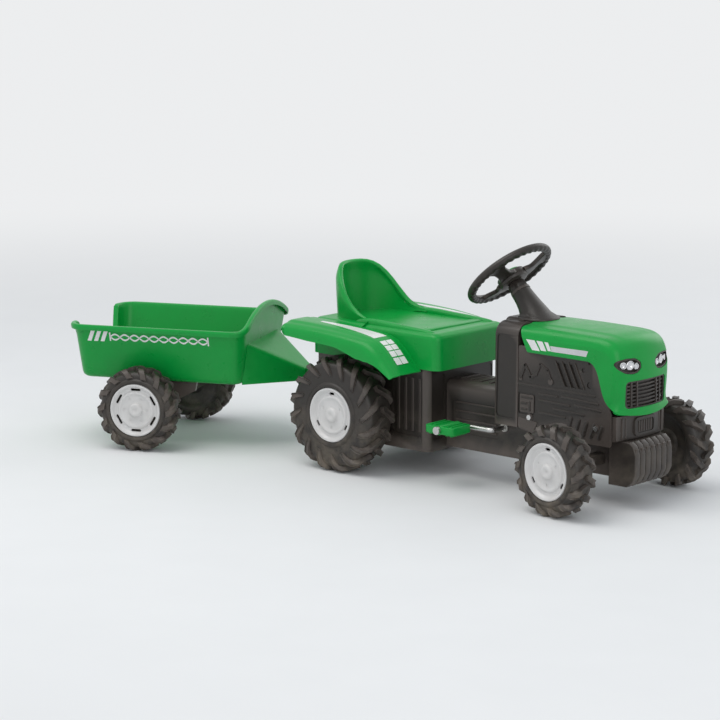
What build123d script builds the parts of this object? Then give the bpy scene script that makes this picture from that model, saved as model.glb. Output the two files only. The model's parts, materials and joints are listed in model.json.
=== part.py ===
"""Child's pedal tractor with its trailer, built as separate mouldings,
steel rods and wheels.

Millimetres. The tractor is laid out with X forward, Y to its left and Z up, from
the point on the ground under the rear axle. The trailer is laid out straight behind
its own hitch pin. Each piece is moved to its place in the assembly when it is written,
with the trailer swung out and the front wheels turned a little.
"""
from build123d import *
from math import cos, pi, radians, sin
import os

os.makedirs("parts", exist_ok=True)

# ---------------------------------------------------------------- how it stands
trailer_swing = 25.0          # trailer yaw about the hitch pin, positive to its left
steer_angle = -7.0            # front wheels turned a little to the right
steer_limit = 26.0            # full lock each way

# ---------------------------------------------------------------- clearances
running = 0.05                # shaft in a plain bore, each side
seat_gap = 0.2                # one moulding resting in or on another
side_gap = 0.4                # between a turning piece and its neighbour
link_gap = 0.6                # steering pins in their slots

# ---------------------------------------------------------------- overall layout
wheelbase = 584.0
rear_tyre_radius = 120.0
rear_tyre_width = 78.0
rear_wheel_y = 161.0          # middle of the tyre
front_tyre_radius = 90.0
front_tyre_width = 58.0
front_wheel_y = 186.0
trailer_wheel_y = 171.0
hub_cap_radius = 57.0
hub_recess = 12.0             # depth of the recess that the hub cap sits in
wall = 4.0                    # wall of the large mouldings
tyre_wall = 4.5
rear_lug_height = 10.0
front_lug_height = 8.0
rear_lug_count = 16
front_lug_count = 14

# rods
rear_axle_radius = 6.0
stub_axle_radius = 5.0
trailer_axle_radius = 5.0
crank_rod_radius = 5.0
steering_shaft_radius = 5.0
kingpin_radius = 4.0
nut_length = 7.0
nut_radius = 10.0

# pedal drive: half-inch chain on two sprockets
chain_pitch = 12.7
chain_links = 72
crank_teeth = 20
axle_teeth = 16
chain_half_height = 4.2
chain_width = 9.0
sprocket_thickness = 4.0
crank_height = 120.0
crank_length = 80.0
crank_arm_y = 93.0
pedal_length = 74.0
pedal_width = 62.0
pedal_thickness = 20.0
pedal_start_y = 101.0

# body widths and heights
tunnel_half_width = 50.0
tunnel_top = 200.0
tunnel_bottom = 60.0
tunnel_front = 640.0
housing_half_width = 108.0
housing_front = 190.0
housing_rear = -115.0
housing_bottom = 54.0
engine_half_width = 84.0
engine_bottom = 125.0
bonnet_half_width = 88.0
bonnet_top = 343.0
bonnet_rear = 404.0
bonnet_nose = 664.0
bonnet_lower_edge = 290.0
nose_bottom = 186.0
dash_rear = 340.0
dash_front = 402.0
dash_top = 341.0
fender_half_width = 203.0
seat_height = 301.0           # top of the seat pan
deck_thickness = 4.0
backrest_top = 412.0

# steering
wheel_centre_x = 311.0
wheel_centre_z = 424.0
column_tilt = 48.0            # shaft below horizontal
steering_wheel_radius = 97.0
rim_radius = 9.0
shaft_length = 395.0
steering_arm = 49.0
kingpin_y = 130.0
axle_height_front = front_tyre_radius

# hitch and trailer
hitch_behind_axle = 193.6
hitch_height = 155.0
hitch_pin_radius = 6.0
trailer_axle_back = 365.0
tub_floor_half_width = 126.0
tub_rim_half_width = 166.0
tub_floor = 142.0
tub_rim = 264.0
tub_rear = -538.0
tub_front = -128.0
tub_headboard_top = 308.0

pieces = []


def mirrored_pair(piece, name, place_left, place_right):
    """File a left piece and its mirror image under NAME_left and NAME_right."""
    left = piece.part
    right = mirror(piece.part, about=Plane.XZ)
    pieces.append((f"{name}_left", left, place_left))
    pieces.append((f"{name}_right", right, place_right))


# ---------------------------------------------------------------- places in the assembly
hitch_x = -hitch_behind_axle
straight = Location((0, 0, 0))
trailer_place = Location((hitch_x, 0, 0), (0, 0, trailer_swing))

shaft_direction = Vector(cos(radians(column_tilt)), 0, -sin(radians(column_tilt)))
shaft_top = Vector(wheel_centre_x, 0, wheel_centre_z)
shaft_foot = shaft_top + shaft_direction * shaft_length
column_plane = Plane(origin=shaft_top, x_dir=(0, -1, 0), z_dir=-shaft_direction)
steering_place = column_plane.location * Location((0, 0, 0), (0, 0, steer_angle))
steering_place = steering_place * column_plane.location.inverse()
tie_rod_per_radian = steering_arm * 0.98
tie_rod_shift = -tie_rod_per_radian * radians(steer_angle)
tie_rod_place = Location((0, tie_rod_shift, 0))


def turned_about_kingpin(y):
    """Place of what turns with a front wheel, about the kingpin at Y."""
    there = Location((wheelbase, y, 0))
    return there * Location((0, 0, 0), (0, 0, steer_angle)) * there.inverse()


left_steer_place = turned_about_kingpin(kingpin_y)
right_steer_place = turned_about_kingpin(-kingpin_y)

# ================================================================= wheels


def make_tyre(radius, width, lug_height, lug_count, bore, lug_slant):
    """Hollow moulded wheel about Y with its hub-cap recess on the +Y side."""
    half = width / 2
    carcass = radius - lug_height
    face = half - hub_recess
    recess = hub_cap_radius + seat_gap
    with BuildPart() as lug:
        tangent = Plane(origin=(carcass - 4, 0, 0), x_dir=(0, 1, 0), z_dir=(1, 0, 0))
        with BuildSketch(tangent):
            with BuildLine():
                Polyline(
                    (2.0, -7.0),
                    (half * 0.55, lug_slant * 0.75 - 8.0),
                    (half - 1.0, lug_slant - 9.0),
                    (half - 1.0, lug_slant + 9.0),
                    (half * 0.55, lug_slant * 0.75 + 8.0),
                    (2.0, 6.0),
                    close=True,
                )
            make_face()
        extrude(amount=lug_height + 8)
        with BuildSketch(Plane.XY):
            with BuildLine():
                Polyline(
                    (carcass - 6, 0.5),
                    (radius, 0.5),
                    (radius, half * 0.72),
                    (radius - 3.0, half * 0.9),
                    (carcass - 6, half - 0.5),
                    close=True,
                )
            make_face()
        revolve(axis=Axis.Y, mode=Mode.INTERSECT)
    other_lug = mirror(lug.part, about=Plane.XZ)
    with BuildPart() as tyre:
        with BuildSketch(Plane.XY):
            with BuildLine():
                Polyline(
                    (bore, -half + 3),
                    (22, -half + 3),
                    (28, -half + 8),
                    (carcass * 0.62, -half + 8),
                    (carcass * 0.72, -half),
                    (carcass - 9, -half),
                    (carcass, -half + 8),
                    (carcass, half - 8),
                    (carcass - 9, half),
                    (recess + 4, half),
                    (recess, half - 3),
                    (recess, face),
                    (bore, face),
                    close=True,
                )
            make_face()
            with BuildLine():
                Polyline(
                    (bore + tyre_wall, -half + 3 + tyre_wall),
                    (22, -half + 3 + tyre_wall),
                    (27, -half + 8 + tyre_wall),
                    (carcass * 0.64, -half + 8 + tyre_wall),
                    (carcass * 0.74, -half + tyre_wall),
                    (carcass - 11, -half + tyre_wall),
                    (carcass - tyre_wall, -half + 11),
                    (carcass - tyre_wall, half - 11),
                    (carcass - 11, half - tyre_wall),
                    (recess + tyre_wall + 1, half - tyre_wall),
                    (recess + tyre_wall, face - tyre_wall),
                    (bore + tyre_wall, face - tyre_wall),
                    close=True,
                )
            make_face(mode=Mode.SUBTRACT)
        revolve(axis=Axis.Y)
        # one row of lugs each side, half a pitch apart
        lugs = []
        for index in range(lug_count):
            turn = 360 / lug_count
            lugs.append(lug.part.rotate(Axis.Y, index * turn))
            lugs.append(other_lug.rotate(Axis.Y, (index + 0.5) * turn))
        add(lugs)
        # blow-moulding vent on the inner side
        with BuildSketch(Plane.XZ.offset(half + 1)):
            with Locations((carcass * 0.5, 0)):
                Circle(4)
        extrude(amount=-width / 3, mode=Mode.SUBTRACT)
    return tyre


def make_hub(width, slot_count, slot_width):
    """Dished cap about Y, with its face on the +Y side of a wheel of this width."""
    half = width / 2
    seat = half - hub_recess + seat_gap
    with BuildPart() as hub:
        with BuildSketch(Plane.XY):
            with BuildLine():
                Polyline(
                    (0, half - 1),
                    (15, half - 1),
                    (19, seat + 5),
                    (40, seat + 4),
                    (hub_cap_radius - 7, half - 2),
                    (hub_cap_radius - 2, half - 0.5),
                    (hub_cap_radius, half - 3),
                    (hub_cap_radius, seat),
                    (hub_cap_radius - 10, seat),
                    (hub_cap_radius - 14, seat + 1),
                    (17, seat + 1.5),
                    (12, half - 3.5),
                    (0, half - 3.5),
                    close=True,
                )
            make_face()
        revolve(axis=Axis.Y)
        with BuildSketch(Plane.XZ.offset(-half - 1)):
            with PolarLocations(hub_cap_radius - 15, slot_count):
                SlotOverall(slot_width, 5.0, rotation=90)
        extrude(amount=hub_recess + 6, mode=Mode.SUBTRACT)
        with BuildSketch(Plane.XZ.offset(-half - 1)):
            with PolarLocations(27, slot_count, start_angle=180 / slot_count):
                Circle(1.8)
        extrude(amount=hub_recess + 6, mode=Mode.SUBTRACT)
    return hub


def wheel_place(x, y, z):
    """Place of a wheel, turned so that a lug stands on the ground."""
    return Location((x, y, z)) * Location((0, 0, 0), (0, 90, 0))


rear_tyre = make_tyre(rear_tyre_radius, rear_tyre_width, rear_lug_height,
                      rear_lug_count, rear_axle_radius + running, 20.0)
rear_hub = make_hub(rear_tyre_width, 3, 9.0)
front_tyre = make_tyre(front_tyre_radius, front_tyre_width, front_lug_height,
                       front_lug_count, stub_axle_radius + running, 14.0)
front_hub = make_hub(front_tyre_width, 3, 9.0)
trailer_hub = make_hub(front_tyre_width, 6, 14.0)

mirrored_pair(rear_tyre, "rear_tyre",
              wheel_place(0, rear_wheel_y, rear_tyre_radius),
              wheel_place(0, -rear_wheel_y, rear_tyre_radius))
mirrored_pair(rear_hub, "rear_hub",
              wheel_place(0, rear_wheel_y, rear_tyre_radius),
              wheel_place(0, -rear_wheel_y, rear_tyre_radius))
for wheel_part, wheel_name in ((front_tyre, "front_tyre"), (front_hub, "front_hub")):
    mirrored_pair(wheel_part, wheel_name,
                  left_steer_place * wheel_place(wheelbase, front_wheel_y, front_tyre_radius),
                  right_steer_place * wheel_place(wheelbase, -front_wheel_y, front_tyre_radius))
for wheel_part, wheel_name in ((front_tyre, "trailer_tyre"), (trailer_hub, "trailer_hub")):
    mirrored_pair(wheel_part, wheel_name,
                  trailer_place * wheel_place(-trailer_axle_back, trailer_wheel_y, front_tyre_radius),
                  trailer_place * wheel_place(-trailer_axle_back, -trailer_wheel_y, front_tyre_radius))

# ================================================================= rods and drive
link_sum = (crank_teeth + axle_teeth) / 2
link_rest = chain_links - link_sum
tooth_term = 2 * ((crank_teeth - axle_teeth) / pi) ** 2 / 4
crank_x = chain_pitch / 4 * (link_rest + (link_rest**2 - 4 * tooth_term) ** 0.5)
crank_pitch_radius = chain_pitch / 2 / sin(pi / crank_teeth)
axle_pitch_radius = chain_pitch / 2 / sin(pi / axle_teeth)
bush_wall = 4.0


def rod(radius, length, origin, direction):
    """Plain round rod from ORIGIN along DIRECTION."""
    with BuildPart() as bar:
        with BuildSketch(Plane(origin=origin, z_dir=direction)):
            Circle(radius)
        extrude(amount=length)
    return bar


def ring_pair(bore, outer, y_from, y_to, x, z):
    """Two plain rings about Y, one each side of the centre line."""
    with BuildPart() as rings:
        with BuildSketch(Plane(origin=(x, y_to, z), z_dir=(0, -1, 0))):
            Circle(outer)
            Circle(bore, mode=Mode.SUBTRACT)
        extrude(amount=y_to - y_from)
        mirror(about=Plane.XZ)
    return rings


def nut_pair(radius, y_from, rod_radius, x, z):
    """Two push-on cap nuts, closed at the outer end, over the ends of a rod."""
    with BuildPart() as nuts:
        with BuildSketch(Plane(origin=(x, y_from + nut_length, z), z_dir=(0, -1, 0))):
            Circle(radius)
        extrude(amount=nut_length)
        fillet(nuts.faces().sort_by(Axis.Y)[-1].edges(), 2.5)
        with BuildSketch(Plane(origin=(x, y_from, z), z_dir=(0, 1, 0))):
            Circle(rod_radius)
        extrude(amount=nut_length - 1.5, mode=Mode.SUBTRACT)
        mirror(about=Plane.XZ)
    return nuts


rear_nut_y = rear_wheel_y + rear_tyre_width / 2 - hub_recess + seat_gap
rear_axle_half = rear_nut_y + nut_length - 1.5
rear_axle = rod(rear_axle_radius, 2 * rear_axle_half,
                (0, -rear_axle_half, rear_tyre_radius), (0, 1, 0))
pieces.append(("rear_axle", rear_axle.part, straight))
rear_nuts = nut_pair(nut_radius, rear_nut_y, rear_axle_radius, 0, rear_tyre_radius)
pieces.append(("rear_axle_nuts", rear_nuts.part, straight))
axle_bushes = ring_pair(rear_axle_radius + running, rear_axle_radius + bush_wall,
                        housing_half_width - wall - 3, housing_half_width + 6,
                        0, rear_tyre_radius)
pieces.append(("axle_bushes", axle_bushes.part, straight))

# bent crank rod: pedal pin, arm, shaft, arm, pedal pin
pin_end_y = pedal_start_y + pedal_width + side_gap + nut_length - 1.5
with BuildPart() as crank_rod:
    with BuildLine() as crank_path:
        FilletPolyline(
            (crank_x - crank_length, -pin_end_y, crank_height),
            (crank_x - crank_length, -crank_arm_y, crank_height),
            (crank_x, -crank_arm_y, crank_height),
            (crank_x, crank_arm_y, crank_height),
            (crank_x + crank_length, crank_arm_y, crank_height),
            (crank_x + crank_length, pin_end_y, crank_height),
            radius=7.0,
        )
    with BuildSketch(Plane(origin=crank_path.line @ 0, z_dir=crank_path.line % 0)):
        Circle(crank_rod_radius)
    sweep()
pieces.append(("crank_rod", crank_rod.part, straight))

with BuildPart() as pedal_nuts:
    for side in (-1, 1):
        nut_y = side * (pedal_start_y + pedal_width + side_gap)
        nut_plane = Plane(origin=(crank_x + side * crank_length, nut_y, crank_height),
                          z_dir=(0, side, 0))
        with BuildSketch(nut_plane):
            Circle(nut_radius - 2)
        extrude(amount=nut_length)
        with BuildSketch(nut_plane):
            Circle(crank_rod_radius)
        extrude(amount=nut_length - 1.5, mode=Mode.SUBTRACT)
pieces.append(("pedal_nuts", pedal_nuts.part, straight))

crank_bushes = ring_pair(crank_rod_radius + running, crank_rod_radius + bush_wall,
                         tunnel_half_width - wall - 3, tunnel_half_width + 3,
                         crank_x, crank_height)
pieces.append(("crank_bushes", crank_bushes.part, straight))


def make_pedal(side):
    """Hollow-ribbed foot pedal on its pin; the right one points back, the left forward."""
    pin_x = crank_x + side * crank_length
    middle_y = side * (pedal_start_y + pedal_width / 2)
    with BuildPart() as pedal:
        with BuildSketch(Plane.XY.offset(crank_height)):
            with Locations((pin_x, middle_y)):
                RectangleRounded(pedal_length, pedal_width, 9)
        extrude(amount=pedal_thickness / 2, both=True)
        fillet(pedal.faces().filter_by(Axis.Z).edges(), 3)
        # tread grooves across the top and the bottom
        for tread in (1, -1):
            groove_plane = Plane(
                origin=(pin_x, middle_y, crank_height + tread * pedal_thickness / 2),
                z_dir=(0, 0, -tread))
            with BuildSketch(groove_plane):
                with GridLocations(11, 0, 6, 1):
                    SlotOverall(pedal_width - 16, 4, rotation=90)
            extrude(amount=2.5, mode=Mode.SUBTRACT)
        with BuildSketch(Plane(origin=(pin_x, 0, crank_height), z_dir=(0, side, 0))):
            Circle(crank_rod_radius + running)
        extrude(amount=pedal_start_y + pedal_width + 10, mode=Mode.SUBTRACT)
    return pedal


pieces.append(("pedal_left", make_pedal(1).part, straight))
pieces.append(("pedal_right", make_pedal(-1).part, straight))


def make_sprocket(teeth, pitch_radius, bore, x):
    """Flat sprocket on the centre line, with lightening holes and a keyed collar."""
    with BuildPart() as sprocket:
        middle = Plane(origin=(x, 0, crank_height), z_dir=(0, -1, 0))
        with BuildSketch(middle):
            Circle(pitch_radius - chain_half_height - side_gap)
            with PolarLocations(pitch_radius * 0.58, 5):
                Circle(pitch_radius * 0.14, mode=Mode.SUBTRACT)
        extrude(amount=sprocket_thickness / 2, both=True)
        with BuildSketch(middle):
            Circle(bore + 5)
        extrude(amount=9, both=True)
        with BuildSketch(middle):
            Circle(bore)
        extrude(amount=20, both=True, mode=Mode.SUBTRACT)
    return sprocket


crank_sprocket = make_sprocket(crank_teeth, crank_pitch_radius, crank_rod_radius, crank_x)
pieces.append(("crank_sprocket", crank_sprocket.part, straight))
axle_sprocket = make_sprocket(axle_teeth, axle_pitch_radius, rear_axle_radius, 0)
pieces.append(("axle_sprocket", axle_sprocket.part, straight))

# chain, as one closed band round both sprockets
with BuildPart() as drive_chain:
    for half_height, how in ((chain_half_height, Mode.ADD), (-chain_half_height, Mode.SUBTRACT)):
        with BuildSketch(Plane.XZ):
            with Locations((0, crank_height)):
                Circle(axle_pitch_radius + half_height)
            with Locations((crank_x, crank_height)):
                Circle(crank_pitch_radius + half_height)
            make_hull()
        extrude(amount=chain_width / 2, both=True, mode=how)
pieces.append(("drive_chain", drive_chain.part, straight))

# ================================================================= dark chassis mouldings
tie_rod_x = wheelbase - steering_arm
tie_bar_low = 70.0
tie_bar_thickness = 5.0
tie_bar_width = 14.0
beam_width = 22.0
beam_height = 20.0
beam_low = 84.0
shaft_bush_radius = steering_shaft_radius + bush_wall
shaft_at_tunnel = shaft_top + shaft_direction * (
    (wheel_centre_z - tunnel_top) / sin(radians(column_tilt)))

with BuildPart() as centre_tunnel:
    tunnel_start = Plane(origin=(housing_front + seat_gap, 0, 0), x_dir=(0, 1, 0), z_dir=(1, 0, 0))
    tunnel_length = tunnel_front - 28 - housing_front - seat_gap
    tunnel_middle = (tunnel_top + tunnel_bottom) / 2
    tunnel_height = tunnel_top - tunnel_bottom
    with BuildSketch(tunnel_start):
        with Locations((0, tunnel_middle)):
            Rectangle(2 * tunnel_half_width, tunnel_height)
    extrude(amount=tunnel_length)
    fillet(centre_tunnel.edges().filter_by(Axis.X).group_by(Axis.Z)[-1], 12)
    with BuildSketch(tunnel_start):
        with Locations((0, tunnel_middle - wall)):
            Rectangle(2 * (tunnel_half_width - wall), tunnel_height)
    extrude(amount=tunnel_length, mode=Mode.SUBTRACT)
    # foot ribs along the top
    with BuildSketch(Plane.XY.offset(tunnel_top - 2)):
        with Locations((housing_front + 75, 0)):
            with GridLocations(0, 16, 1, 5):
                SlotOverall(128, 6)
    extrude(amount=4.5)
    # crank bearings, front beam, tie bar and steering shaft pass through
    with BuildSketch(Plane.XZ.offset(tunnel_half_width + 5)):
        with Locations((crank_x, crank_height)):
            Circle(crank_rod_radius + bush_wall)
        with Locations((wheelbase, beam_low + beam_height / 2)):
            Rectangle(beam_width + 2 * seat_gap, beam_height + 2 * seat_gap)
        with Locations((tie_rod_x, tie_bar_low + tie_bar_thickness / 2)):
            Rectangle(tie_bar_width + 4, tie_bar_thickness + 5)
    extrude(amount=-2 * tunnel_half_width - 10, mode=Mode.SUBTRACT)
    with BuildSketch(Plane(origin=shaft_at_tunnel - shaft_direction * 25, z_dir=shaft_direction)):
        Circle(shaft_bush_radius)
    extrude(amount=50, mode=Mode.SUBTRACT)
pieces.append(("centre_tunnel", centre_tunnel.part, straight))

housing_top = seat_height - deck_thickness - seat_gap
with BuildPart() as rear_housing:
    housing_middle = (housing_front + housing_rear) / 2
    housing_length = housing_front - housing_rear
    with BuildSketch(Plane.XY.offset(housing_bottom)):
        with Locations((housing_middle, 0)):
            RectangleRounded(housing_length, 2 * housing_half_width, 16)
    extrude(amount=housing_top - housing_bottom)
    # lower rear corner is cut away upwards behind the axle
    with BuildSketch(Plane.XZ.offset(-housing_half_width - 5)):
        with BuildLine():
            Polyline(
                (housing_rear - 1, housing_bottom - 1),
                (housing_rear + 45, housing_bottom - 1),
                (housing_rear - 1, housing_bottom + 62),
                close=True,
            )
        make_face()
    extrude(amount=2 * housing_half_width + 10, mode=Mode.SUBTRACT)
    with BuildSketch(Plane.XY.offset(housing_bottom - 1)):
        with Locations((housing_middle, 0)):
            RectangleRounded(housing_length - 2 * wall, 2 * (housing_half_width - wall), 12)
    extrude(amount=housing_top - housing_bottom - wall + 1, mode=Mode.SUBTRACT)
    # bearing holes, and the chain's way through to the tunnel
    with BuildSketch(Plane.XZ.offset(housing_half_width + 5)):
        with Locations((0, rear_tyre_radius)):
            Circle(rear_axle_radius + bush_wall)
    extrude(amount=-2 * housing_half_width - 10, mode=Mode.SUBTRACT)
    with BuildSketch(Plane.YZ.offset(housing_front - wall - 2)):
        with Locations((0, crank_height)):
            Rectangle(60, 108)
    extrude(amount=wall + 4, mode=Mode.SUBTRACT)
pieces.append(("rear_housing", rear_housing.part, straight))

with BuildPart() as dashboard:
    dash_length = dash_front - dash_rear
    dash_low = tunnel_top - 66
    dash_middle = (dash_top + dash_low) / 2
    dash_plane = Plane(origin=(dash_rear, 0, 0), x_dir=(0, 1, 0), z_dir=(1, 0, 0))
    with BuildSketch(dash_plane):
        with Locations((0, dash_middle)):
            Rectangle(2 * engine_half_width, dash_top - dash_low)
    extrude(amount=dash_length)
    fillet(dashboard.edges().filter_by(Axis.X).group_by(Axis.Z)[-1], 26)
    fillet(dashboard.faces().sort_by(Axis.X)[0].edges().group_by(Axis.Z)[1:], 9)
    with BuildSketch(dash_plane.offset(wall)) as dash_hollow:
        with Locations((0, dash_middle - wall)):
            Rectangle(2 * (engine_half_width - wall), dash_top - dash_low)
        fillet(dash_hollow.vertices().group_by(Axis.Z)[-1], 22)
    extrude(amount=dash_length, mode=Mode.SUBTRACT)
    # it straddles the tunnel, and the steering shaft passes through its top
    with BuildSketch(dash_plane.offset(-1)):
        with Locations((0, tunnel_top / 2)):
            Rectangle(2 * (tunnel_half_width + seat_gap), tunnel_top + 2 * 3)
    extrude(amount=dash_length + 2, mode=Mode.SUBTRACT)
    with BuildSketch(Plane(origin=shaft_top + shaft_direction * 90, z_dir=shaft_direction)):
        Circle(shaft_bush_radius + 1)
    extrude(amount=60, mode=Mode.SUBTRACT)
pieces.append(("dashboard", dashboard.part, straight))

engine_side_y = bonnet_half_width - wall - seat_gap
engine_panel = 4.0
boss_places = ((432.0, 158.0), (596.0, 158.0))
with BuildPart() as engine_side:
    side_plane = Plane(origin=(0, engine_side_y, 0), x_dir=(1, 0, 0), z_dir=(0, -1, 0))
    with BuildSketch(side_plane):
        with BuildLine():
            Polyline(
                (dash_front + seat_gap, engine_bottom + 9),
                (dash_front + seat_gap, bonnet_lower_edge + 10),
                (588, bonnet_lower_edge + 10),
                (612, 240),
                (632, nose_bottom + 6),
                (632, engine_bottom),
                (440, engine_bottom),
                close=True,
            )
        make_face()
    extrude(amount=engine_panel)
    # moulded recesses: slanted louvres, a square cover and two long ribs
    with BuildSketch(side_plane):
        with Locations((525, 262), (545, 262)):
            SlotOverall(44, 9, rotation=-62)
        with Locations((432, 232)):
            RectangleRounded(38, 40, 3)
            RectangleRounded(24, 26, 2, mode=Mode.SUBTRACT)
        with Locations((520, 228), (520, 212)):
            SlotOverall(110, 5)
        with Locations((578, 268)):
            Circle(7)
    extrude(amount=engine_panel / 2, mode=Mode.SUBTRACT)
    # stand-offs that carry the panel on the tunnel wall
    for boss_x, boss_z in boss_places:
        boss_plane = Plane(origin=(boss_x, engine_side_y, boss_z), z_dir=(0, -1, 0))
        with BuildSketch(boss_plane):
            Circle(8)
        extrude(amount=engine_side_y - tunnel_half_width)
        with BuildSketch(boss_plane):
            Circle(2.5)
        extrude(amount=engine_side_y - tunnel_half_width, mode=Mode.SUBTRACT)
mirrored_pair(engine_side, "engine_side", straight, straight)

with BuildPart() as body_screws:
    for boss_x, boss_z in boss_places:
        with BuildSketch(Plane(origin=(boss_x, engine_side_y, boss_z), z_dir=(0, 1, 0))):
            Circle(5)
        extrude(amount=2.5)
        with BuildSketch(Plane(origin=(boss_x, engine_side_y, boss_z), z_dir=(0, -1, 0))):
            Circle(2.3)
        extrude(amount=engine_side_y - tunnel_half_width - 1)
    mirror(about=Plane.XZ)
pieces.append(("body_screws", body_screws.part, straight))

with BuildPart() as front_fascia:
    fascia_front = 652.0
    fascia_low = 136.0
    fascia_plane = Plane.XY.offset(fascia_low)
    with BuildSketch(fascia_plane):
        with Locations(((tunnel_front - 28 + seat_gap + fascia_front) / 2, 0)):
            Rectangle(fascia_front - tunnel_front + 28 - seat_gap, 2 * 78)
    extrude(amount=nose_bottom - seat_gap - fascia_low)
    fillet(front_fascia.faces().sort_by(Axis.X)[-1].edges().filter_by(Axis.Z), 12)
    with BuildSketch(fascia_plane):
        with Locations(((tunnel_front - 28 + fascia_front - wall) / 2 - 2, 0)):
            Rectangle(fascia_front - tunnel_front + 28 - wall, 2 * (78 - wall))
    extrude(amount=nose_bottom - fascia_low - wall, mode=Mode.SUBTRACT)
pieces.append(("front_fascia", front_fascia.part, straight))

with BuildPart() as front_weights:
    weight_front = 676.0
    weight_rear = tunnel_front - 28 + seat_gap
    weight_low = 46.0
    with BuildSketch(Plane.XY.offset(weight_low)):
        with Locations(((weight_front + weight_rear) / 2, 0)):
            Rectangle(weight_front - weight_rear, 124)
    extrude(amount=fascia_low - seat_gap - weight_low)
    fillet(front_weights.faces().sort_by(Axis.X)[-1].edges().filter_by(Axis.Y), 14)
    # upright grooves between the slabs
    with BuildSketch(Plane.XY.offset(weight_low - 1)):
        with Locations((weight_front, 0)):
            with GridLocations(0, 20, 1, 5):
                Rectangle(24, 3.5)
    extrude(amount=fascia_low - weight_low + 2, mode=Mode.SUBTRACT)
    # hollow from behind
    with BuildSketch(Plane.YZ.offset(weight_rear - 1)):
        with Locations((0, (weight_low + fascia_low) / 2)):
            Rectangle(124 - 2 * wall, fascia_low - weight_low - 3 * wall)
    extrude(amount=weight_front - weight_rear - 18, mode=Mode.SUBTRACT)
pieces.append(("front_weights", front_weights.part, straight))

# ================================================================= green bonnet and front
nose_curve_radius = 210.0
grille_half_width = 64.0
grille_low = 200.0
grille_high = 255.0
lamp_y = 62.0
lamp_z = 292.0
lamp_width = 44.0
lamp_height = 27.0
lamp_depth = 9.0


def bonnet_block(inset):
    """Bonnet filled in down to below its nose, INSET inside the outer skin."""
    with BuildPart() as block:
        with BuildSketch(Plane.XZ):
            with BuildLine():
                Polyline(
                    (bonnet_rear, nose_bottom - 20),
                    (bonnet_rear, bonnet_top - inset),
                    (622 - inset, bonnet_top - inset),
                    (650 - inset, 316 - inset),
                    (bonnet_nose - inset, 270),
                    (bonnet_nose - inset, nose_bottom - 20),
                    close=True,
                )
            make_face()
        extrude(amount=bonnet_half_width - inset, both=True)
        fillet(block.edges().filter_by(Axis.X).group_by(Axis.Z)[-1], 18 - inset)
        with BuildSketch(Plane.XY.offset(nose_bottom - 30)):
            with Locations((bonnet_nose - nose_curve_radius, 0)):
                Circle(nose_curve_radius - inset)
        extrude(amount=300, mode=Mode.INTERSECT)
    return block


with BuildPart() as bonnet:
    add(bonnet_block(0).part)
    add(bonnet_block(wall).part, mode=Mode.SUBTRACT)
    # lower edge: level along the engine, then sweeping down round the nose
    with BuildSketch(Plane.XZ.offset(bonnet_half_width + 5)):
        with BuildLine():
            Polyline(
                (bonnet_rear - 1, nose_bottom - 40),
                (bonnet_rear - 1, bonnet_top - 10),
                (bonnet_rear + 24, bonnet_lower_edge),
                (586, bonnet_lower_edge),
                (608, 250),
                (628, 214),
                (644, nose_bottom),
                (bonnet_nose + 10, nose_bottom),
                (bonnet_nose + 10, nose_bottom - 40),
                close=True,
            )
        make_face()
    extrude(amount=-2 * bonnet_half_width - 10, mode=Mode.SUBTRACT)
    front_plane = Plane.YZ.offset(bonnet_nose - 40)
    with BuildSketch(front_plane):
        with Locations((0, (grille_low + grille_high) / 2)):
            RectangleRounded(2 * grille_half_width, grille_high - grille_low, 8)
        with Locations((lamp_y, lamp_z), (-lamp_y, lamp_z)):
            RectangleRounded(lamp_width + 2 * seat_gap, lamp_height + 2 * seat_gap, 8)
    extrude(amount=60, mode=Mode.SUBTRACT)
pieces.append(("bonnet", bonnet.part, straight))

with BuildPart() as grille:
    with BuildSketch(front_plane):
        with Locations((0, (grille_low + grille_high) / 2)):
            RectangleRounded(2 * (grille_half_width - seat_gap),
                             grille_high - grille_low - 2 * seat_gap, 8)
    extrude(amount=38)
    add(bonnet_block(1.0).part, mode=Mode.INTERSECT)
    with BuildSketch(front_plane.offset(-1)):
        with Locations((0, (grille_low + grille_high) / 2)):
            RectangleRounded(2 * (grille_half_width - wall),
                             grille_high - grille_low - 2 * wall, 5)
    extrude(amount=21, mode=Mode.SUBTRACT)
    # level slots between the bars
    with BuildSketch(front_plane.offset(-1)):
        with Locations((0, (grille_low + grille_high) / 2)):
            with GridLocations(0, 9, 1, 5):
                SlotOverall(2 * grille_half_width - 22, 4)
    extrude(amount=60, mode=Mode.SUBTRACT)
pieces.append(("grille", grille.part, straight))

with BuildPart() as headlight:
    with BuildSketch(Plane.YZ.offset(bonnet_nose - 30)):
        with Locations((lamp_y, lamp_z)):
            RectangleRounded(lamp_width, lamp_height, 8)
    extrude(amount=40)
    add(bonnet_block(0.6).part, mode=Mode.INTERSECT)
    add(bonnet_block(lamp_depth).part, mode=Mode.SUBTRACT)
mirrored_pair(headlight, "headlight", straight, straight)

# ================================================================= seat and fenders
cover_half_width = housing_half_width + seat_gap + deck_thickness
cover_low = 226.0
fender_line = (
    (-141.0, 284.0),
    (-132.0, 303.0),
    (-60.0, 300.0),
    (106.0, 284.0),
    (148.0, 250.0),
    (172.0, 222.0),
)
backrest_x = -40.0
backrest_radius = 92.0
backrest_thickness = 12.0
fender_skirt = 32.0

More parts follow.
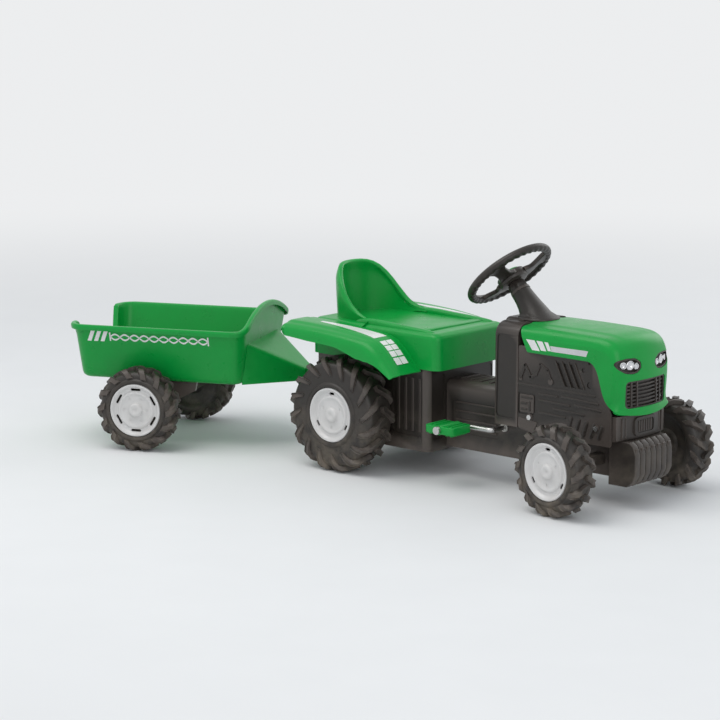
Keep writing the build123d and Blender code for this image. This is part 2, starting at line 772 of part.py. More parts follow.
# backrest wraps round behind, and slopes down along the sides
with BuildPart() as backrest:
    with BuildSketch(Plane.XY.offset(seat_height - 1)):
        with Locations((backrest_x, 0)):
            Circle(backrest_radius)
        with Locations((backrest_x + 30, 0)):
            Rectangle(60, 2 * backrest_radius)
        with Locations((backrest_x, 0)):
            Circle(backrest_radius - backrest_thickness, mode=Mode.SUBTRACT)
        with Locations((backrest_x + 40, 0)):
            Rectangle(80, 2 * (backrest_radius - backrest_thickness), mode=Mode.SUBTRACT)
    extrude(amount=backrest_top - seat_height + 1)
    with BuildSketch(Plane.XZ):
        with BuildLine():
            Polyline(
                (backrest_x - backrest_radius - 1, seat_height - 2),
                (backrest_x - backrest_radius - 1, backrest_top - 22),
                (backrest_x - backrest_radius + 16, backrest_top),
                (backrest_x - 48, backrest_top),
                (backrest_x - 12, backrest_top - 62),
                (backrest_x + 22, seat_height + 22),
                (backrest_x + 61, seat_height + 9),
                (backrest_x + 61, seat_height - 2),
                close=True,
            )
        make_face()
    extrude(amount=backrest_radius + 1, both=True, mode=Mode.INTERSECT)

with BuildPart() as seat_and_fenders:
    # centre cover over the rear housing, open below
    with BuildSketch(Plane.XZ):
        with BuildLine():
            Polyline(
                (housing_rear - 16, cover_low + 8),
                (housing_rear - 16, seat_height),
                (housing_front + 8, seat_height),
                (housing_front + 24, seat_height - 12),
                (housing_front + 28, cover_low),
                close=True,
            )
        make_face()
    extrude(amount=cover_half_width, both=True)
    with BuildSketch(Plane.XZ):
        with BuildLine():
            Polyline(
                (housing_rear - 16 + deck_thickness, cover_low - 10),
                (housing_rear - 16 + deck_thickness, seat_height - deck_thickness),
                (housing_front + 6, seat_height - deck_thickness),
                (housing_front + 20, seat_height - 14),
                (housing_front + 24, cover_low - 10),
                close=True,
            )
        make_face()
    extrude(amount=cover_half_width - deck_thickness, both=True, mode=Mode.SUBTRACT)
    # fender plates, with a turned-down outer skirt
    for fender_side in (1, -1):
        outer_plane = Plane(origin=(0, fender_side * fender_half_width, 0),
                            x_dir=(1, 0, 0), z_dir=(0, -1, 0))
        inward = fender_side
        with BuildSketch(outer_plane):
            with BuildLine() as fender_edge:
                Polyline(*fender_line)
            trace(line_width=deck_thickness)
        extrude(amount=inward * (fender_half_width - cover_half_width + 1))
        with BuildSketch(outer_plane):
            with BuildLine():
                Polyline(
                    *fender_line,
                    *[(x, z - fender_skirt) for x, z in reversed(fender_line)],
                    close=True,
                )
            make_face()
        extrude(amount=inward * deck_thickness)
    # raised sides of the seat
    with BuildSketch(Plane.XY.offset(seat_height - 1)):
        with Locations((58, 97), (58, -97)):
            RectangleRounded(250, 24, 11)
    extrude(amount=12)
    add(backrest.part)
pieces.append(("seat_and_fenders", seat_and_fenders.part, straight))

# ================================================================= hitch
hitch_plate = 6.0
ear_thickness = 5.6
tongue_thickness = 22.0
ear_gap = tongue_thickness + 2 * side_gap
ear_radius = 20.0
with BuildPart() as hitch_bracket:
    with BuildSketch(Plane.YZ.offset(housing_rear - hitch_plate)):
        with Locations((0, hitch_height)):
            RectangleRounded(84, 66, 10)
    extrude(amount=hitch_plate)
    for ear_low in (hitch_height - ear_gap / 2 - ear_thickness, hitch_height + ear_gap / 2):
        with BuildSketch(Plane.XY.offset(ear_low)):
            with Locations((hitch_x, 0)):
                Circle(ear_radius)
            with Locations(((hitch_x + housing_rear - hitch_plate) / 2, 0)):
                Rectangle(housing_rear - hitch_plate - hitch_x, 2 * ear_radius)
        extrude(amount=ear_thickness)
    with Locations((hitch_x, 0, hitch_height)):
        Cylinder(hitch_pin_radius + running, 60, mode=Mode.SUBTRACT)
pieces.append(("hitch_bracket", hitch_bracket.part, straight))

pin_head = 12.0
head_seat = hitch_height + ear_gap / 2 + ear_thickness + side_gap
with BuildPart() as hitch_pin:
    with BuildSketch(Plane.XY.offset(head_seat - 56)):
        with Locations((hitch_x, 0)):
            Circle(hitch_pin_radius)
    extrude(amount=56)
    chamfer(hitch_pin.faces().sort_by(Axis.Z)[0].edges(), 2)
    with BuildSketch(Plane.XY.offset(head_seat)):
        with Locations((hitch_x, 0)):
            Circle(14)
    extrude(amount=pin_head)
    fillet(hitch_pin.faces().sort_by(Axis.Z)[-1].edges(), 4)
pieces.append(("hitch_pin", hitch_pin.part, straight))

# ================================================================= front axle and steering
beam_end = kingpin_y - 13.5      # clear of the steering arms at full lock
ear_reach = kingpin_y + 12
knuckle_radius = 11.0
knuckle_low = 69.0
knuckle_high = 111.0
fork_ear = 9.0
with BuildPart() as front_axle_beam:
    with BuildSketch(Plane.XY.offset(beam_low)):
        with Locations((wheelbase, 0)):
            Rectangle(beam_width, 2 * beam_end)
    extrude(amount=beam_height)
    for end in (1, -1):
        with BuildSketch(Plane.XY.offset(knuckle_low - side_gap - fork_ear)):
            with Locations((wheelbase, end * (beam_end - 5))):
                Rectangle(beam_width, 10)
        extrude(amount=knuckle_high - knuckle_low + 2 * (side_gap + fork_ear))
        for ear_start in (knuckle_low - side_gap - fork_ear, knuckle_high + side_gap):
            with BuildSketch(Plane.XY.offset(ear_start)):
                with Locations((wheelbase, end * (beam_end + ear_reach - 11) / 2)):
                    Rectangle(beam_width, ear_reach - 11 - beam_end)
                with Locations((wheelbase, end * (ear_reach - 12))):
                    Circle(beam_width / 2)
            extrude(amount=fork_ear)
        with Locations((wheelbase, end * kingpin_y, 90)):
            Cylinder(kingpin_radius + running, 100, mode=Mode.SUBTRACT)
pieces.append(("front_axle_beam", front_axle_beam.part, straight))

kingpin_top = knuckle_high + side_gap + fork_ear
kingpin_foot = knuckle_low - side_gap - fork_ear - 3
with BuildPart() as kingpins:
    for end in (1, -1):
        with BuildSketch(Plane.XY.offset(kingpin_foot)):
            with Locations((wheelbase, end * kingpin_y)):
                Circle(kingpin_radius)
        extrude(amount=kingpin_top - kingpin_foot)
        with BuildSketch(Plane.XY.offset(kingpin_top)):
            with Locations((wheelbase, end * kingpin_y)):
                Circle(kingpin_radius + 3)
        extrude(amount=4)
pieces.append(("kingpins", kingpins.part, straight))

arm_low = tie_bar_low + tie_bar_thickness + 2.5
arm_thickness = 6.0
arm_width = 12.0
link_pin_radius = 3.0
stub_start = kingpin_y + kingpin_radius + 3
front_inner_face = front_wheel_y - front_tyre_width / 2 + 3
with BuildPart() as knuckle:
    with BuildSketch(Plane.XY.offset(knuckle_low)):
        with Locations((wheelbase, kingpin_y)):
            Circle(knuckle_radius)
    extrude(amount=knuckle_high - knuckle_low)
    with BuildSketch(Plane(origin=(wheelbase, kingpin_y, axle_height_front), z_dir=(0, 1, 0))):
        Circle(knuckle_radius - 1)
    extrude(amount=front_inner_face - side_gap - kingpin_y)
    # steering arm to the rear, with a pin down into the tie bar
    with BuildSketch(Plane.XY.offset(arm_low)):
        with Locations((wheelbase - steering_arm / 2, kingpin_y)):
            Rectangle(steering_arm, arm_width)
        with Locations((wheelbase - steering_arm, kingpin_y)):
            Circle(7)
    extrude(amount=arm_thickness)
    with BuildSketch(Plane.XY.offset(tie_bar_low - 4)):
        with Locations((wheelbase - steering_arm, kingpin_y)):
            Circle(link_pin_radius)
    extrude(amount=arm_low - tie_bar_low + 4)
    with Locations((wheelbase, kingpin_y, 90)):
        Cylinder(kingpin_radius + running, 80, mode=Mode.SUBTRACT)
    with BuildSketch(Plane(origin=(wheelbase, stub_start, axle_height_front), z_dir=(0, 1, 0))):
        Circle(stub_axle_radius)
    extrude(amount=60, mode=Mode.SUBTRACT)
mirrored_pair(knuckle, "knuckle", left_steer_place, right_steer_place)

stub_head_y = front_wheel_y + front_tyre_width / 2 - hub_recess + side_gap
with BuildPart() as stub_axle:
    with BuildSketch(Plane(origin=(wheelbase, stub_start, axle_height_front), z_dir=(0, 1, 0))):
        Circle(stub_axle_radius)
    extrude(amount=stub_head_y - stub_start)
    with BuildSketch(Plane(origin=(wheelbase, stub_head_y, axle_height_front), z_dir=(0, 1, 0))):
        RegularPolygon(9, 6)
    extrude(amount=5)
mirrored_pair(stub_axle, "stub_axle", left_steer_place, right_steer_place)

slot_run = steering_arm * (1 - cos(radians(steer_limit)))
slot_width = 2 * (link_pin_radius + link_gap)
arm_tip_radius = 6.0
arm_tip_length = 14.0
tip_low = shaft_foot.Z - steering_arm * cos(radians(column_tilt))
with BuildPart() as tie_rod:
    with BuildSketch(Plane.XY.offset(tie_bar_low)):
        with Locations((tie_rod_x, 0)):
            Rectangle(tie_bar_width, 2 * kingpin_y)
        for end in (1, -1):
            with Locations((tie_rod_x + slot_run / 2, end * kingpin_y)):
                RectangleRounded(slot_run + 22, 22, 6)
                SlotOverall(slot_run + slot_width, slot_width, mode=Mode.SUBTRACT)
    extrude(amount=tie_bar_thickness)
    # upright fork that the steering arm's ball works in
    fork_reach = tip_low + arm_tip_radius + 6 - tie_bar_low
    with BuildSketch(Plane.XY.offset(tie_bar_low)):
        for end in (1, -1):
            with Locations((tie_rod_x + 3, end * (arm_tip_radius + link_gap + 2))):
                Rectangle(10, 4)
    extrude(amount=fork_reach)
pieces.append(("tie_rod", tie_rod.part, tie_rod_place))

# steering parts are laid out in the wheel's own plane, Z towards the driver
wheel_place_turned = column_plane.location * Location((0, 0, 0), (0, 0, steer_angle))
hub_radius = 31.0
with BuildPart() as steering_shaft:
    with BuildSketch(Plane.XY.offset(-shaft_length)):
        Circle(steering_shaft_radius)
    extrude(amount=shaft_length - 14)
    with BuildSketch(Plane.XY.offset(-shaft_length)):
        with BuildLine():
            Polyline((-8, 0), (8, 0), (3.5, -steering_arm), (-3.5, -steering_arm), close=True)
        make_face()
        Circle(9)
    extrude(amount=2.5, both=True)
    with BuildSketch(Plane.XY.offset(-shaft_length)):
        with Locations((0, -steering_arm)):
            Circle(arm_tip_radius)
    extrude(amount=arm_tip_length / 2, both=True)
pieces.append(("steering_shaft", steering_shaft.part, wheel_place_turned))

cap_radius = 24.0
cap_recess = 5.0
cap_travel = 3.0
with BuildPart() as steering_wheel:
    with BuildSketch(Plane.XZ):
        with Locations((steering_wheel_radius - rim_radius, 0)):
            Circle(rim_radius)
    revolve(axis=Axis.Z)
    with BuildSketch(Plane.XY.offset(-22)):
        Circle(hub_radius)
    extrude(amount=20)
    for spoke_angle in (-90, 30, 150):
        spoke_plane = Plane(origin=(0, 0, -15), x_dir=(cos(radians(spoke_angle)),
                                                       sin(radians(spoke_angle)), 0))
        spoke_end = steering_wheel_radius - rim_radius
        with BuildSketch(spoke_plane):
            with BuildLine():
                Polyline((10, -17), (spoke_end - 2, -11), (spoke_end - 2, 11), (10, 17), close=True)
            make_face()
        extrude(amount=12)
    with BuildSketch(Plane.XY.offset(-2)):
        Circle(cap_radius + side_gap)
    extrude(amount=-cap_recess - cap_travel, mode=Mode.SUBTRACT)
    with BuildSketch(Plane.XY.offset(-14)):
        Circle(steering_shaft_radius)
    extrude(amount=-20, mode=Mode.SUBTRACT)
pieces.append(("steering_wheel", steering_wheel.part, wheel_place_turned))

with BuildPart() as horn_cap:
    with BuildSketch(Plane.XY.offset(-2 - cap_recess)):
        Circle(cap_radius)
    extrude(amount=cap_recess + 6)
    fillet(horn_cap.faces().sort_by(Axis.Z)[-1].edges(), 5)
pieces.append(("horn_cap", horn_cap.part, wheel_place_turned))

shroud_radius = 21.0
shroud_start = 27.0
foot_clear = bonnet_top + side_gap
shroud_end = (wheel_centre_z - foot_clear) / sin(radians(column_tilt)) + 24
with BuildPart() as column_shroud:
    with BuildSketch(Plane.XZ):
        with BuildLine():
            Polyline(
                (shaft_bush_radius + seat_gap, -shroud_start),
                (shroud_radius - 3, -shroud_start),
                (shroud_radius, -shroud_start - 6),
                (shroud_radius, -shroud_end + 52),
                (shroud_radius + 14, -shroud_end),
                (shaft_bush_radius + seat_gap, -shroud_end),
                close=True,
            )
        make_face()
    revolve(axis=Axis.Z)
shroud_in_place = column_plane.location * column_shroud.part
with BuildPart() as column_cover:
    add(shroud_in_place)
    with BuildSketch(Plane.XY.offset(foot_clear)):
        with Locations((dash_front, 0)):
            Rectangle(300, 300)
    extrude(amount=-80, mode=Mode.SUBTRACT)
pieces.append(("column_shroud", column_cover.part, straight))

tunnel_bush_at = (wheel_centre_z - tunnel_top) / sin(radians(column_tilt))
with BuildPart() as steering_bushes:
    for bush_middle in (shroud_start + 14, tunnel_bush_at):
        with BuildSketch(Plane.XY.offset(-bush_middle - 9)):
            Circle(shaft_bush_radius)
            Circle(steering_shaft_radius + running, mode=Mode.SUBTRACT)
        extrude(amount=18)
pieces.append(("steering_bushes", steering_bushes.part, column_plane.location))

# ================================================================= trailer, behind its pin
nose_half_height = 14.0
nose_roof = hitch_height + tongue_thickness / 2 + seat_gap
nose_end = -40.0
shell_floor_top = tub_floor + wall


def tub_block(inset, low, high):
    """Flared tub filled in between two heights, INSET inside its outer skin."""
    flare = (tub_rim_half_width - tub_floor_half_width) / (tub_rim - tub_floor)
    rise = 1 / (tub_rim - tub_floor)
    with BuildPart() as block:
        for height in (low, high):
            share = (height - tub_floor) * rise
            rear = -520.0 + share * (tub_rear + 520.0) + inset
            front = -152.0 + share * (tub_front + 152.0) - inset
            half = tub_floor_half_width + flare * (height - tub_floor) - inset
            with BuildSketch(Plane.XY.offset(height)):
                with Locations(((rear + front) / 2, 0)):
                    RectangleRounded(front - rear, 2 * half, 34 - inset)
        loft()
    return block


def nose_block(inset):
    """Tapering nose from the tub's front wall to the drawbar."""
    with BuildPart() as block:
        with BuildSketch(Plane.YZ.offset(-160)):
            with Locations((0, (tub_floor + 236) / 2 - inset)):
                Rectangle(2 * (112 - inset), 236 - tub_floor)
        with BuildSketch(Plane.YZ.offset(nose_end)):
            with Locations((0, nose_roof - nose_half_height + wall - inset)):
                Rectangle(2 * (25 - inset), 2 * nose_half_height)
        loft()
    return block


with BuildPart() as trailer_tub:
    add(nose_block(0).part)
    add(nose_block(wall).part, mode=Mode.SUBTRACT)
    add(tub_block(0, tub_floor, tub_rim).part)
    # headboard arches up above the front wall
    with BuildSketch(Plane.YZ.offset(tub_front - 12)):
        with BuildLine():
            ThreePointArc((-150, tub_rim - 12), (0, tub_headboard_top), (150, tub_rim - 12))
            Line((150, tub_rim - 12), (-150, tub_rim - 12))
        make_face()
    extrude(amount=12)
    add(tub_block(wall, shell_floor_top, tub_rim + 1).part, mode=Mode.SUBTRACT)
    with BuildSketch(Plane.XY.offset(tub_rim + 1)):
        with Locations((-300, 0)):
            Rectangle(300, 300)
    extrude(amount=60, mode=Mode.SUBTRACT)
    # tail dips low between the rear corners
    with BuildSketch(Plane.YZ.offset(tub_rear - 5)):
        with Locations((0, 246)):
            RectangleRounded(214, 76, 20)
    extrude(amount=60, mode=Mode.SUBTRACT)
pieces.append(("trailer_tub", trailer_tub.part, trailer_place))

drawbar_half = 15.0
with BuildPart() as drawbar:
    with BuildSketch(Plane.XY.offset(hitch_height - tongue_thickness / 2)):
        Circle(ear_radius - 1)
        with Locations((-62, 0)):
            Rectangle(124, 2 * drawbar_half)
    extrude(amount=tongue_thickness)
    with Locations((0, 0, hitch_height)):
        Cylinder(hitch_pin_radius + 0.3, 60, mode=Mode.SUBTRACT)
pieces.append(("drawbar", drawbar.part, trailer_place))

trailer_nut_y = trailer_wheel_y + front_tyre_width / 2 - hub_recess + side_gap
trailer_axle_half = trailer_nut_y + nut_length - 1.5
trailer_axle = rod(trailer_axle_radius, 2 * trailer_axle_half,
                   (-trailer_axle_back, -trailer_axle_half, front_tyre_radius), (0, 1, 0))
pieces.append(("trailer_axle", trailer_axle.part, trailer_place))
trailer_nuts = nut_pair(nut_radius - 1, trailer_nut_y, trailer_axle_radius,
                        -trailer_axle_back, front_tyre_radius)
pieces.append(("trailer_axle_nuts", trailer_nuts.part, trailer_place))

bracket_y = 104.0
with BuildPart() as axle_brackets:
    with BuildSketch(Plane.XZ.offset(-bracket_y - 5)):
        with BuildLine():
            Polyline(
                (-trailer_axle_back - 52, tub_floor),
                (-trailer_axle_back - 16, front_tyre_radius - 14),
                (-trailer_axle_back + 16, front_tyre_radius - 14),
                (-trailer_axle_back + 104, tub_floor - 20),
                (-trailer_axle_back + 108, tub_floor),
                close=True,
            )
        make_face()
    extrude(amount=10)
    with BuildSketch(Plane.XZ.offset(-bracket_y - 20)):
        with Locations((-trailer_axle_back, front_tyre_radius)):
            Circle(trailer_axle_radius + running)
    extrude(amount=40, mode=Mode.SUBTRACT)
    mirror(about=Plane.XZ)
pieces.append(("axle_brackets", axle_brackets.part, trailer_place))

# ================================================================= the assembly
placed = {}
for name, piece, place in pieces:
    placed[name] = place * piece
# the origin is on the ground under the middle of the whole vehicle
outline = Compound(list(placed.values())).bounding_box()
centre = Location((-outline.center().X, -outline.center().Y, -outline.min.Z))
for name, piece in placed.items():
    finished = centre * piece
    finished.label = name
    export_step(finished, f"parts/{name}.step")
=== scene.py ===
import json
import math

import bmesh
import bpy
from mathutils import Matrix, Vector
from mathutils.geometry import interpolate_bezier


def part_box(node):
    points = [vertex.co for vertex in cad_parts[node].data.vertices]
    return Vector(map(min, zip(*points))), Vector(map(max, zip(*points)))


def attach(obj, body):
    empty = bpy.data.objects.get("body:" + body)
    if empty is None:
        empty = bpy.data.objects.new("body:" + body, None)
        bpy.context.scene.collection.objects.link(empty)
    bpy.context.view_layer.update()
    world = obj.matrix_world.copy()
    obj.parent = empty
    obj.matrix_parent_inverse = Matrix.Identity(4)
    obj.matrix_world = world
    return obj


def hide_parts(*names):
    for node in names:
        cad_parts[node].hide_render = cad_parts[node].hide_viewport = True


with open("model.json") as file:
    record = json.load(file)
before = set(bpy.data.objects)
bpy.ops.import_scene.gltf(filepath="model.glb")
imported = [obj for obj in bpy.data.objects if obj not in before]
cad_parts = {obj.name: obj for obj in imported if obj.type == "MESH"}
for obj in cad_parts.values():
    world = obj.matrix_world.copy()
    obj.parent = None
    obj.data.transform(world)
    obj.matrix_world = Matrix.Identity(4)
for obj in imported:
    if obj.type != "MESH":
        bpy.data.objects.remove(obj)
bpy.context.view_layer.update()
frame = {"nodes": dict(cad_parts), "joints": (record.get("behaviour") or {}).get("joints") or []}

# ---------------------------------------------------------------- where it stands
# A plain pale floor that runs out of sight, one large soft lamp overhead on the near side,
# two weak ones in front and on the far side, and an even pale surround.
joints = {joint["name"]: joint for joint in frame["joints"]}
rear_axle = Vector(joints["rear_axle_turn"]["pos_m"])
axle_ground = Vector((rear_axle.x, rear_axle.y, 0))


def node(tree, kind, feeds=None, **settings):
    """One shader node with its settings, and with its inputs linked or set."""
    made = tree.nodes.new(kind)
    for name, value in settings.items():
        setattr(made, name, value)
    for name, value in (feeds or {}).items():
        if isinstance(value, bpy.types.NodeSocket):
            tree.links.new(value, made.inputs[name])
        else:
            made.inputs[name].default_value = value
    return made


pale = (0.86, 0.87, 0.88, 1)
pale_strength = 0.98
floor_drawing = bmesh.new()
bmesh.ops.create_circle(floor_drawing, cap_ends=True, segments=96, radius=40)
floor_mesh = bpy.data.meshes.new("floor")
floor_drawing.to_mesh(floor_mesh)
floor_drawing.free()
floor = bpy.data.objects.new("floor", floor_mesh)
bpy.context.scene.collection.objects.link(floor)
floor_paint = bpy.data.materials.new("floor_paint")
floor_paint.use_nodes = True
tree = floor_paint.node_tree
floor_shader = tree.nodes["Principled BSDF"]
grain = node(tree, "ShaderNodeTexNoise", {
    "Vector": node(tree, "ShaderNodeTexCoord").outputs["Object"], "Scale": 6.0})
floor_tone = node(tree, "ShaderNodeMix", {
    "Factor": grain.outputs["Fac"], "A": (0.80, 0.81, 0.82, 1), "B": (0.83, 0.84, 0.85, 1)},
    data_type="RGBA")
tree.links.new(floor_tone.outputs["Result"], floor_shader.inputs["Base Color"])
floor_shader.inputs["Roughness"].default_value = 0.75
floor_shader.inputs["Specular IOR Level"].default_value = 0.2


def direct_view(tree):
    """1 for what the camera sees, straight or in something shiny or clear."""
    rays = node(tree, "ShaderNodeLightPath")
    mirrored_too = node(tree, "ShaderNodeMath", {0: rays.outputs["Is Camera Ray"],
                                                 1: rays.outputs["Is Glossy Ray"]},
                        operation="MAXIMUM")
    return node(tree, "ShaderNodeMath", {0: mirrored_too.outputs["Value"],
                                         1: rays.outputs["Is Transmission Ray"]},
                operation="MAXIMUM").outputs["Value"]


# well away from the toy the floor melts into the pale surround
melt_start, melt_end = 0.9, 4.5
distance = node(tree, "ShaderNodeVectorMath", {
    0: node(tree, "ShaderNodeTexCoord").outputs["Object"]}, operation="LENGTH")
far_share = node(tree, "ShaderNodeMapRange", {
    "Value": distance.outputs["Value"], "From Min": melt_start, "From Max": melt_end},
    interpolation_type="SMOOTHSTEP")
melt = node(tree, "ShaderNodeMath", {0: far_share.outputs["Result"], 1: direct_view(tree)},
            operation="MULTIPLY")
far_floor = node(tree, "ShaderNodeEmission", {"Color": pale, "Strength": pale_strength})
floor_mix = node(tree, "ShaderNodeMixShader", {
    0: melt.outputs["Value"], 1: floor_shader.outputs["BSDF"],
    2: far_floor.outputs["Emission"]})
tree.links.new(floor_mix.outputs["Shader"], tree.nodes["Material Output"].inputs["Surface"])
floor_mesh.materials.append(floor_paint)

surround = bpy.data.worlds.new("surround")
bpy.context.scene.world = surround
surround.use_nodes = True
tree = surround.node_tree
soft_light = node(tree, "ShaderNodeBackground", {"Color": (0.92, 0.96, 1.0, 1), "Strength": 0.62})
seen_light = node(tree, "ShaderNodeBackground", {"Color": pale, "Strength": pale_strength})
both_lights = node(tree, "ShaderNodeMixShader", {
    0: direct_view(tree), 1: soft_light.outputs["Background"],
    2: seen_light.outputs["Background"]})
tree.links.new(both_lights.outputs["Shader"], tree.nodes["World Output"].inputs["Surface"])


def lamp(name, place, towards, size, power, tint=(1, 1, 1)):
    """Square soft lamp that faces a point."""
    light = bpy.data.lights.new(name, "AREA")
    light.size = size
    light.energy = power
    light.color = tint
    holder = bpy.data.objects.new(name, light)
    holder.location = place
    holder.rotation_euler = (Vector(towards) - Vector(place)).to_track_quat("-Z", "Y").to_euler()
    bpy.context.scene.collection.objects.link(holder)


lamp("overhead_lamp", (-0.6, -1.1, 3.0), (0.1, 0, 0.2), 2.4, 46, (1.0, 0.98, 0.95))
lamp("front_lamp", (3.0, -1.6, 1.5), (0.3, 0, 0.2), 1.8, 16)
lamp("far_lamp", (0.4, 3.0, 1.8), (0, 0, 0.2), 2.0, 14)

viewing_distance = 5.386
viewing_direction = Vector((0.6148, -0.7633, 0.1987))
viewing_line_foot = axle_ground + Vector((0.300, 0, 0.150))
aim = Vector((0.0, 0.0, 0.215))
camera_data = bpy.data.cameras.new("camera")
camera_data.lens = 132
camera_data.clip_end = 100
camera = bpy.data.objects.new("camera", camera_data)
camera.location = viewing_line_foot + viewing_direction * viewing_distance
camera.rotation_euler = (aim - camera.location).to_track_quat("-Z", "Y").to_euler()
bpy.context.scene.collection.objects.link(camera)
bpy.context.scene.camera = camera
bpy.context.scene.view_settings.view_transform = "Standard"

# ---------------------------------------------------------------- tyres
# Six hollow blow-moulded wheels in warm black plastic: a smooth bead ring round the hub
# recess, a plain side wall, and two rows of slanting lugs that run down over the shoulders.
millimetre = 0.001
millimetres = Matrix.Scale(millimetre, 4)
tractor = Matrix.Translation(axle_ground) @ millimetres
rear_radius, front_radius = 120, 90
bead_radius = 57.2


def new_group(name, inputs, outputs):
    """Empty shader node group with named number inputs and outputs."""
    group = bpy.data.node_groups.new(name, "ShaderNodeTree")
    for socket_name, value in inputs.items():
        socket = group.interface.new_socket(
            name=socket_name, in_out="INPUT", socket_type="NodeSocketFloat")
        socket.default_value = value
    for socket_name in outputs:
        group.interface.new_socket(
            name=socket_name, in_out="OUTPUT", socket_type="NodeSocketFloat")
    return group, node(group, "NodeGroupInput"), node(group, "NodeGroupOutput")


# skin of a moulding: fine texture, and the slow waves where plastic has shrunk
mould_skin, given, result = new_group(
    "mould_skin", {"Grain Scale": 900.0, "Wave Scale": 11.0}, ("Grain", "Waves", "Mottle"))
spot = node(mould_skin, "ShaderNodeTexCoord").outputs["Object"]
fine = node(mould_skin, "ShaderNodeTexNoise", {
    "Vector": spot, "Scale": given.outputs["Grain Scale"], "Detail": 3.0})
slow = node(mould_skin, "ShaderNodeTexNoise", {
    "Vector": spot, "Scale": given.outputs["Wave Scale"], "Detail": 1.5})
patchy = node(mould_skin, "ShaderNodeTexNoise", {
    "Vector": spot, "Scale": 34.0, "Detail": 5.0, "Roughness": 0.6})
mould_skin.links.new(fine.outputs["Fac"], result.inputs["Grain"])
mould_skin.links.new(slow.outputs["Fac"], result.inputs["Waves"])
mould_skin.links.new(patchy.outputs["Fac"], result.inputs["Mottle"])

# dust that has settled low down, in patches
low_dust, given, result = new_group("low_dust", {"Reach": 0.12, "Patch Scale": 28.0}, ("Dust",))
spot = node(low_dust, "ShaderNodeTexCoord").outputs["Object"]
height = node(low_dust, "ShaderNodeSeparateXYZ", {"Vector": spot}).outputs["Z"]
share = node(low_dust, "ShaderNodeMath", {0: height, 1: given.outputs["Reach"]},
             operation="DIVIDE").outputs["Value"]
nearness = node(low_dust, "ShaderNodeMath", {0: 1.0, 1: share}, operation="SUBTRACT",
                use_clamp=True).outputs["Value"]
patches = node(low_dust, "ShaderNodeTexNoise", {
    "Vector": spot, "Scale": given.outputs["Patch Scale"], "Detail": 6.0, "Roughness": 0.65})
spread = node(low_dust, "ShaderNodeMapRange", {
    "Value": patches.outputs["Fac"], "From Min": 0.38, "From Max": 0.72}).outputs["Result"]
dust = node(low_dust, "ShaderNodeMath", {0: nearness, 1: spread}, operation="MULTIPLY")
low_dust.links.new(dust.outputs["Value"], result.inputs["Dust"])

# painted highlight: sharp corners and ribs drawn a little paler, as if light caught them
edge_highlight, given, result = new_group("edge_highlight", {"Start": 0.53, "Full": 0.62}, ("Highlight",))
sharpness = node(edge_highlight, "ShaderNodeNewGeometry").outputs["Pointiness"]
highlight_mask = node(edge_highlight, "ShaderNodeMapRange", {
    "Value": sharpness, "From Min": given.outputs["Start"], "From Max": given.outputs["Full"]})
edge_highlight.links.new(highlight_mask.outputs["Result"], result.inputs["Highlight"])


def plastic(name, deep, light, roughness, edge_highlight_tone, edge_highlight_amount=0.3, dust_amount=0.25,
            reach=0.12, grain_depth=0.02, wave_depth=0.10, grain_scale=900.0, coat=0.0):
    """Moulded plastic with a fine skin, slow waves, a painted highlight on sharp edges and low
    dust.
    """
    paint = bpy.data.materials.new(name)
    paint.use_nodes = True
    tree = paint.node_tree
    shader = tree.nodes["Principled BSDF"]
    skin = node(tree, "ShaderNodeGroup", {"Grain Scale": grain_scale}, node_tree=mould_skin)
    edges = node(tree, "ShaderNodeGroup", node_tree=edge_highlight)
    settled = node(tree, "ShaderNodeGroup", {"Reach": reach}, node_tree=low_dust)
    tone = node(tree, "ShaderNodeMix", {
        "Factor": skin.outputs["Mottle"], "A": (*deep, 1), "B": (*light, 1)}, data_type="RGBA")
    # painted highlight: sharp edges mixed towards a paler tone, by how pointed the mesh is there
    edge_highlight_share = node(tree, "ShaderNodeMath", {0: edges.outputs["Highlight"], 1: edge_highlight_amount},
                     operation="MULTIPLY")
    edge_highlighted = node(tree, "ShaderNodeMix", {
        "Factor": edge_highlight_share.outputs["Value"], "A": tone.outputs["Result"],
        "B": (*edge_highlight_tone, 1)}, data_type="RGBA")
    dust_share = node(tree, "ShaderNodeMath", {0: settled.outputs["Dust"], 1: dust_amount},
                      operation="MULTIPLY")
    dusty = node(tree, "ShaderNodeMix", {
        "Factor": dust_share.outputs["Value"], "A": edge_highlighted.outputs["Result"],
        "B": (0.30, 0.25, 0.19, 1)}, data_type="RGBA")
    tree.links.new(dusty.outputs["Result"], shader.inputs["Base Color"])
    matt = node(tree, "ShaderNodeMapRange", {
        "Value": skin.outputs["Mottle"], "From Min": 0.3, "From Max": 0.7,
        "To Min": roughness - 0.04, "To Max": roughness + 0.06})
    dull = node(tree, "ShaderNodeMath", {
        0: dust_share.outputs["Value"], 1: 0.5, 2: matt.outputs["Result"]},
        operation="MULTIPLY_ADD")
    tree.links.new(dull.outputs["Value"], shader.inputs["Roughness"])
    waves = node(tree, "ShaderNodeBump", {
        "Height": skin.outputs["Waves"], "Strength": wave_depth, "Distance": 0.01})
    bumps = node(tree, "ShaderNodeBump", {
        "Height": skin.outputs["Grain"], "Strength": grain_depth * 5, "Distance": 0.0004,
        "Normal": waves.outputs["Normal"]})
    tree.links.new(bumps.outputs["Normal"], shader.inputs["Normal"])
    if coat:
        shader.inputs["Coat Weight"].default_value = coat
        shader.inputs["Coat Roughness"].default_value = 0.12
    return paint


# the fourth colour is a painted highlight on the lugs' sharp edges
tyre_black = plastic("tyre_black", (0.0148, 0.0120, 0.0100), (0.0275, 0.0222, 0.0185), 0.46,
                     (0.14, 0.115, 0.10), edge_highlight_amount=0.45, dust_amount=0.55, reach=0.16,
                     grain_scale=620.0, wave_depth=0.16)


def joined(*drawings):
    """Several drawings as one."""
    whole = bmesh.new()
    for drawing in drawings:
        mesh = bpy.data.meshes.new("drawing")
        drawing.to_mesh(mesh)
        drawing.free()
        whole.from_mesh(mesh)
        bpy.data.meshes.remove(mesh)
    return whole


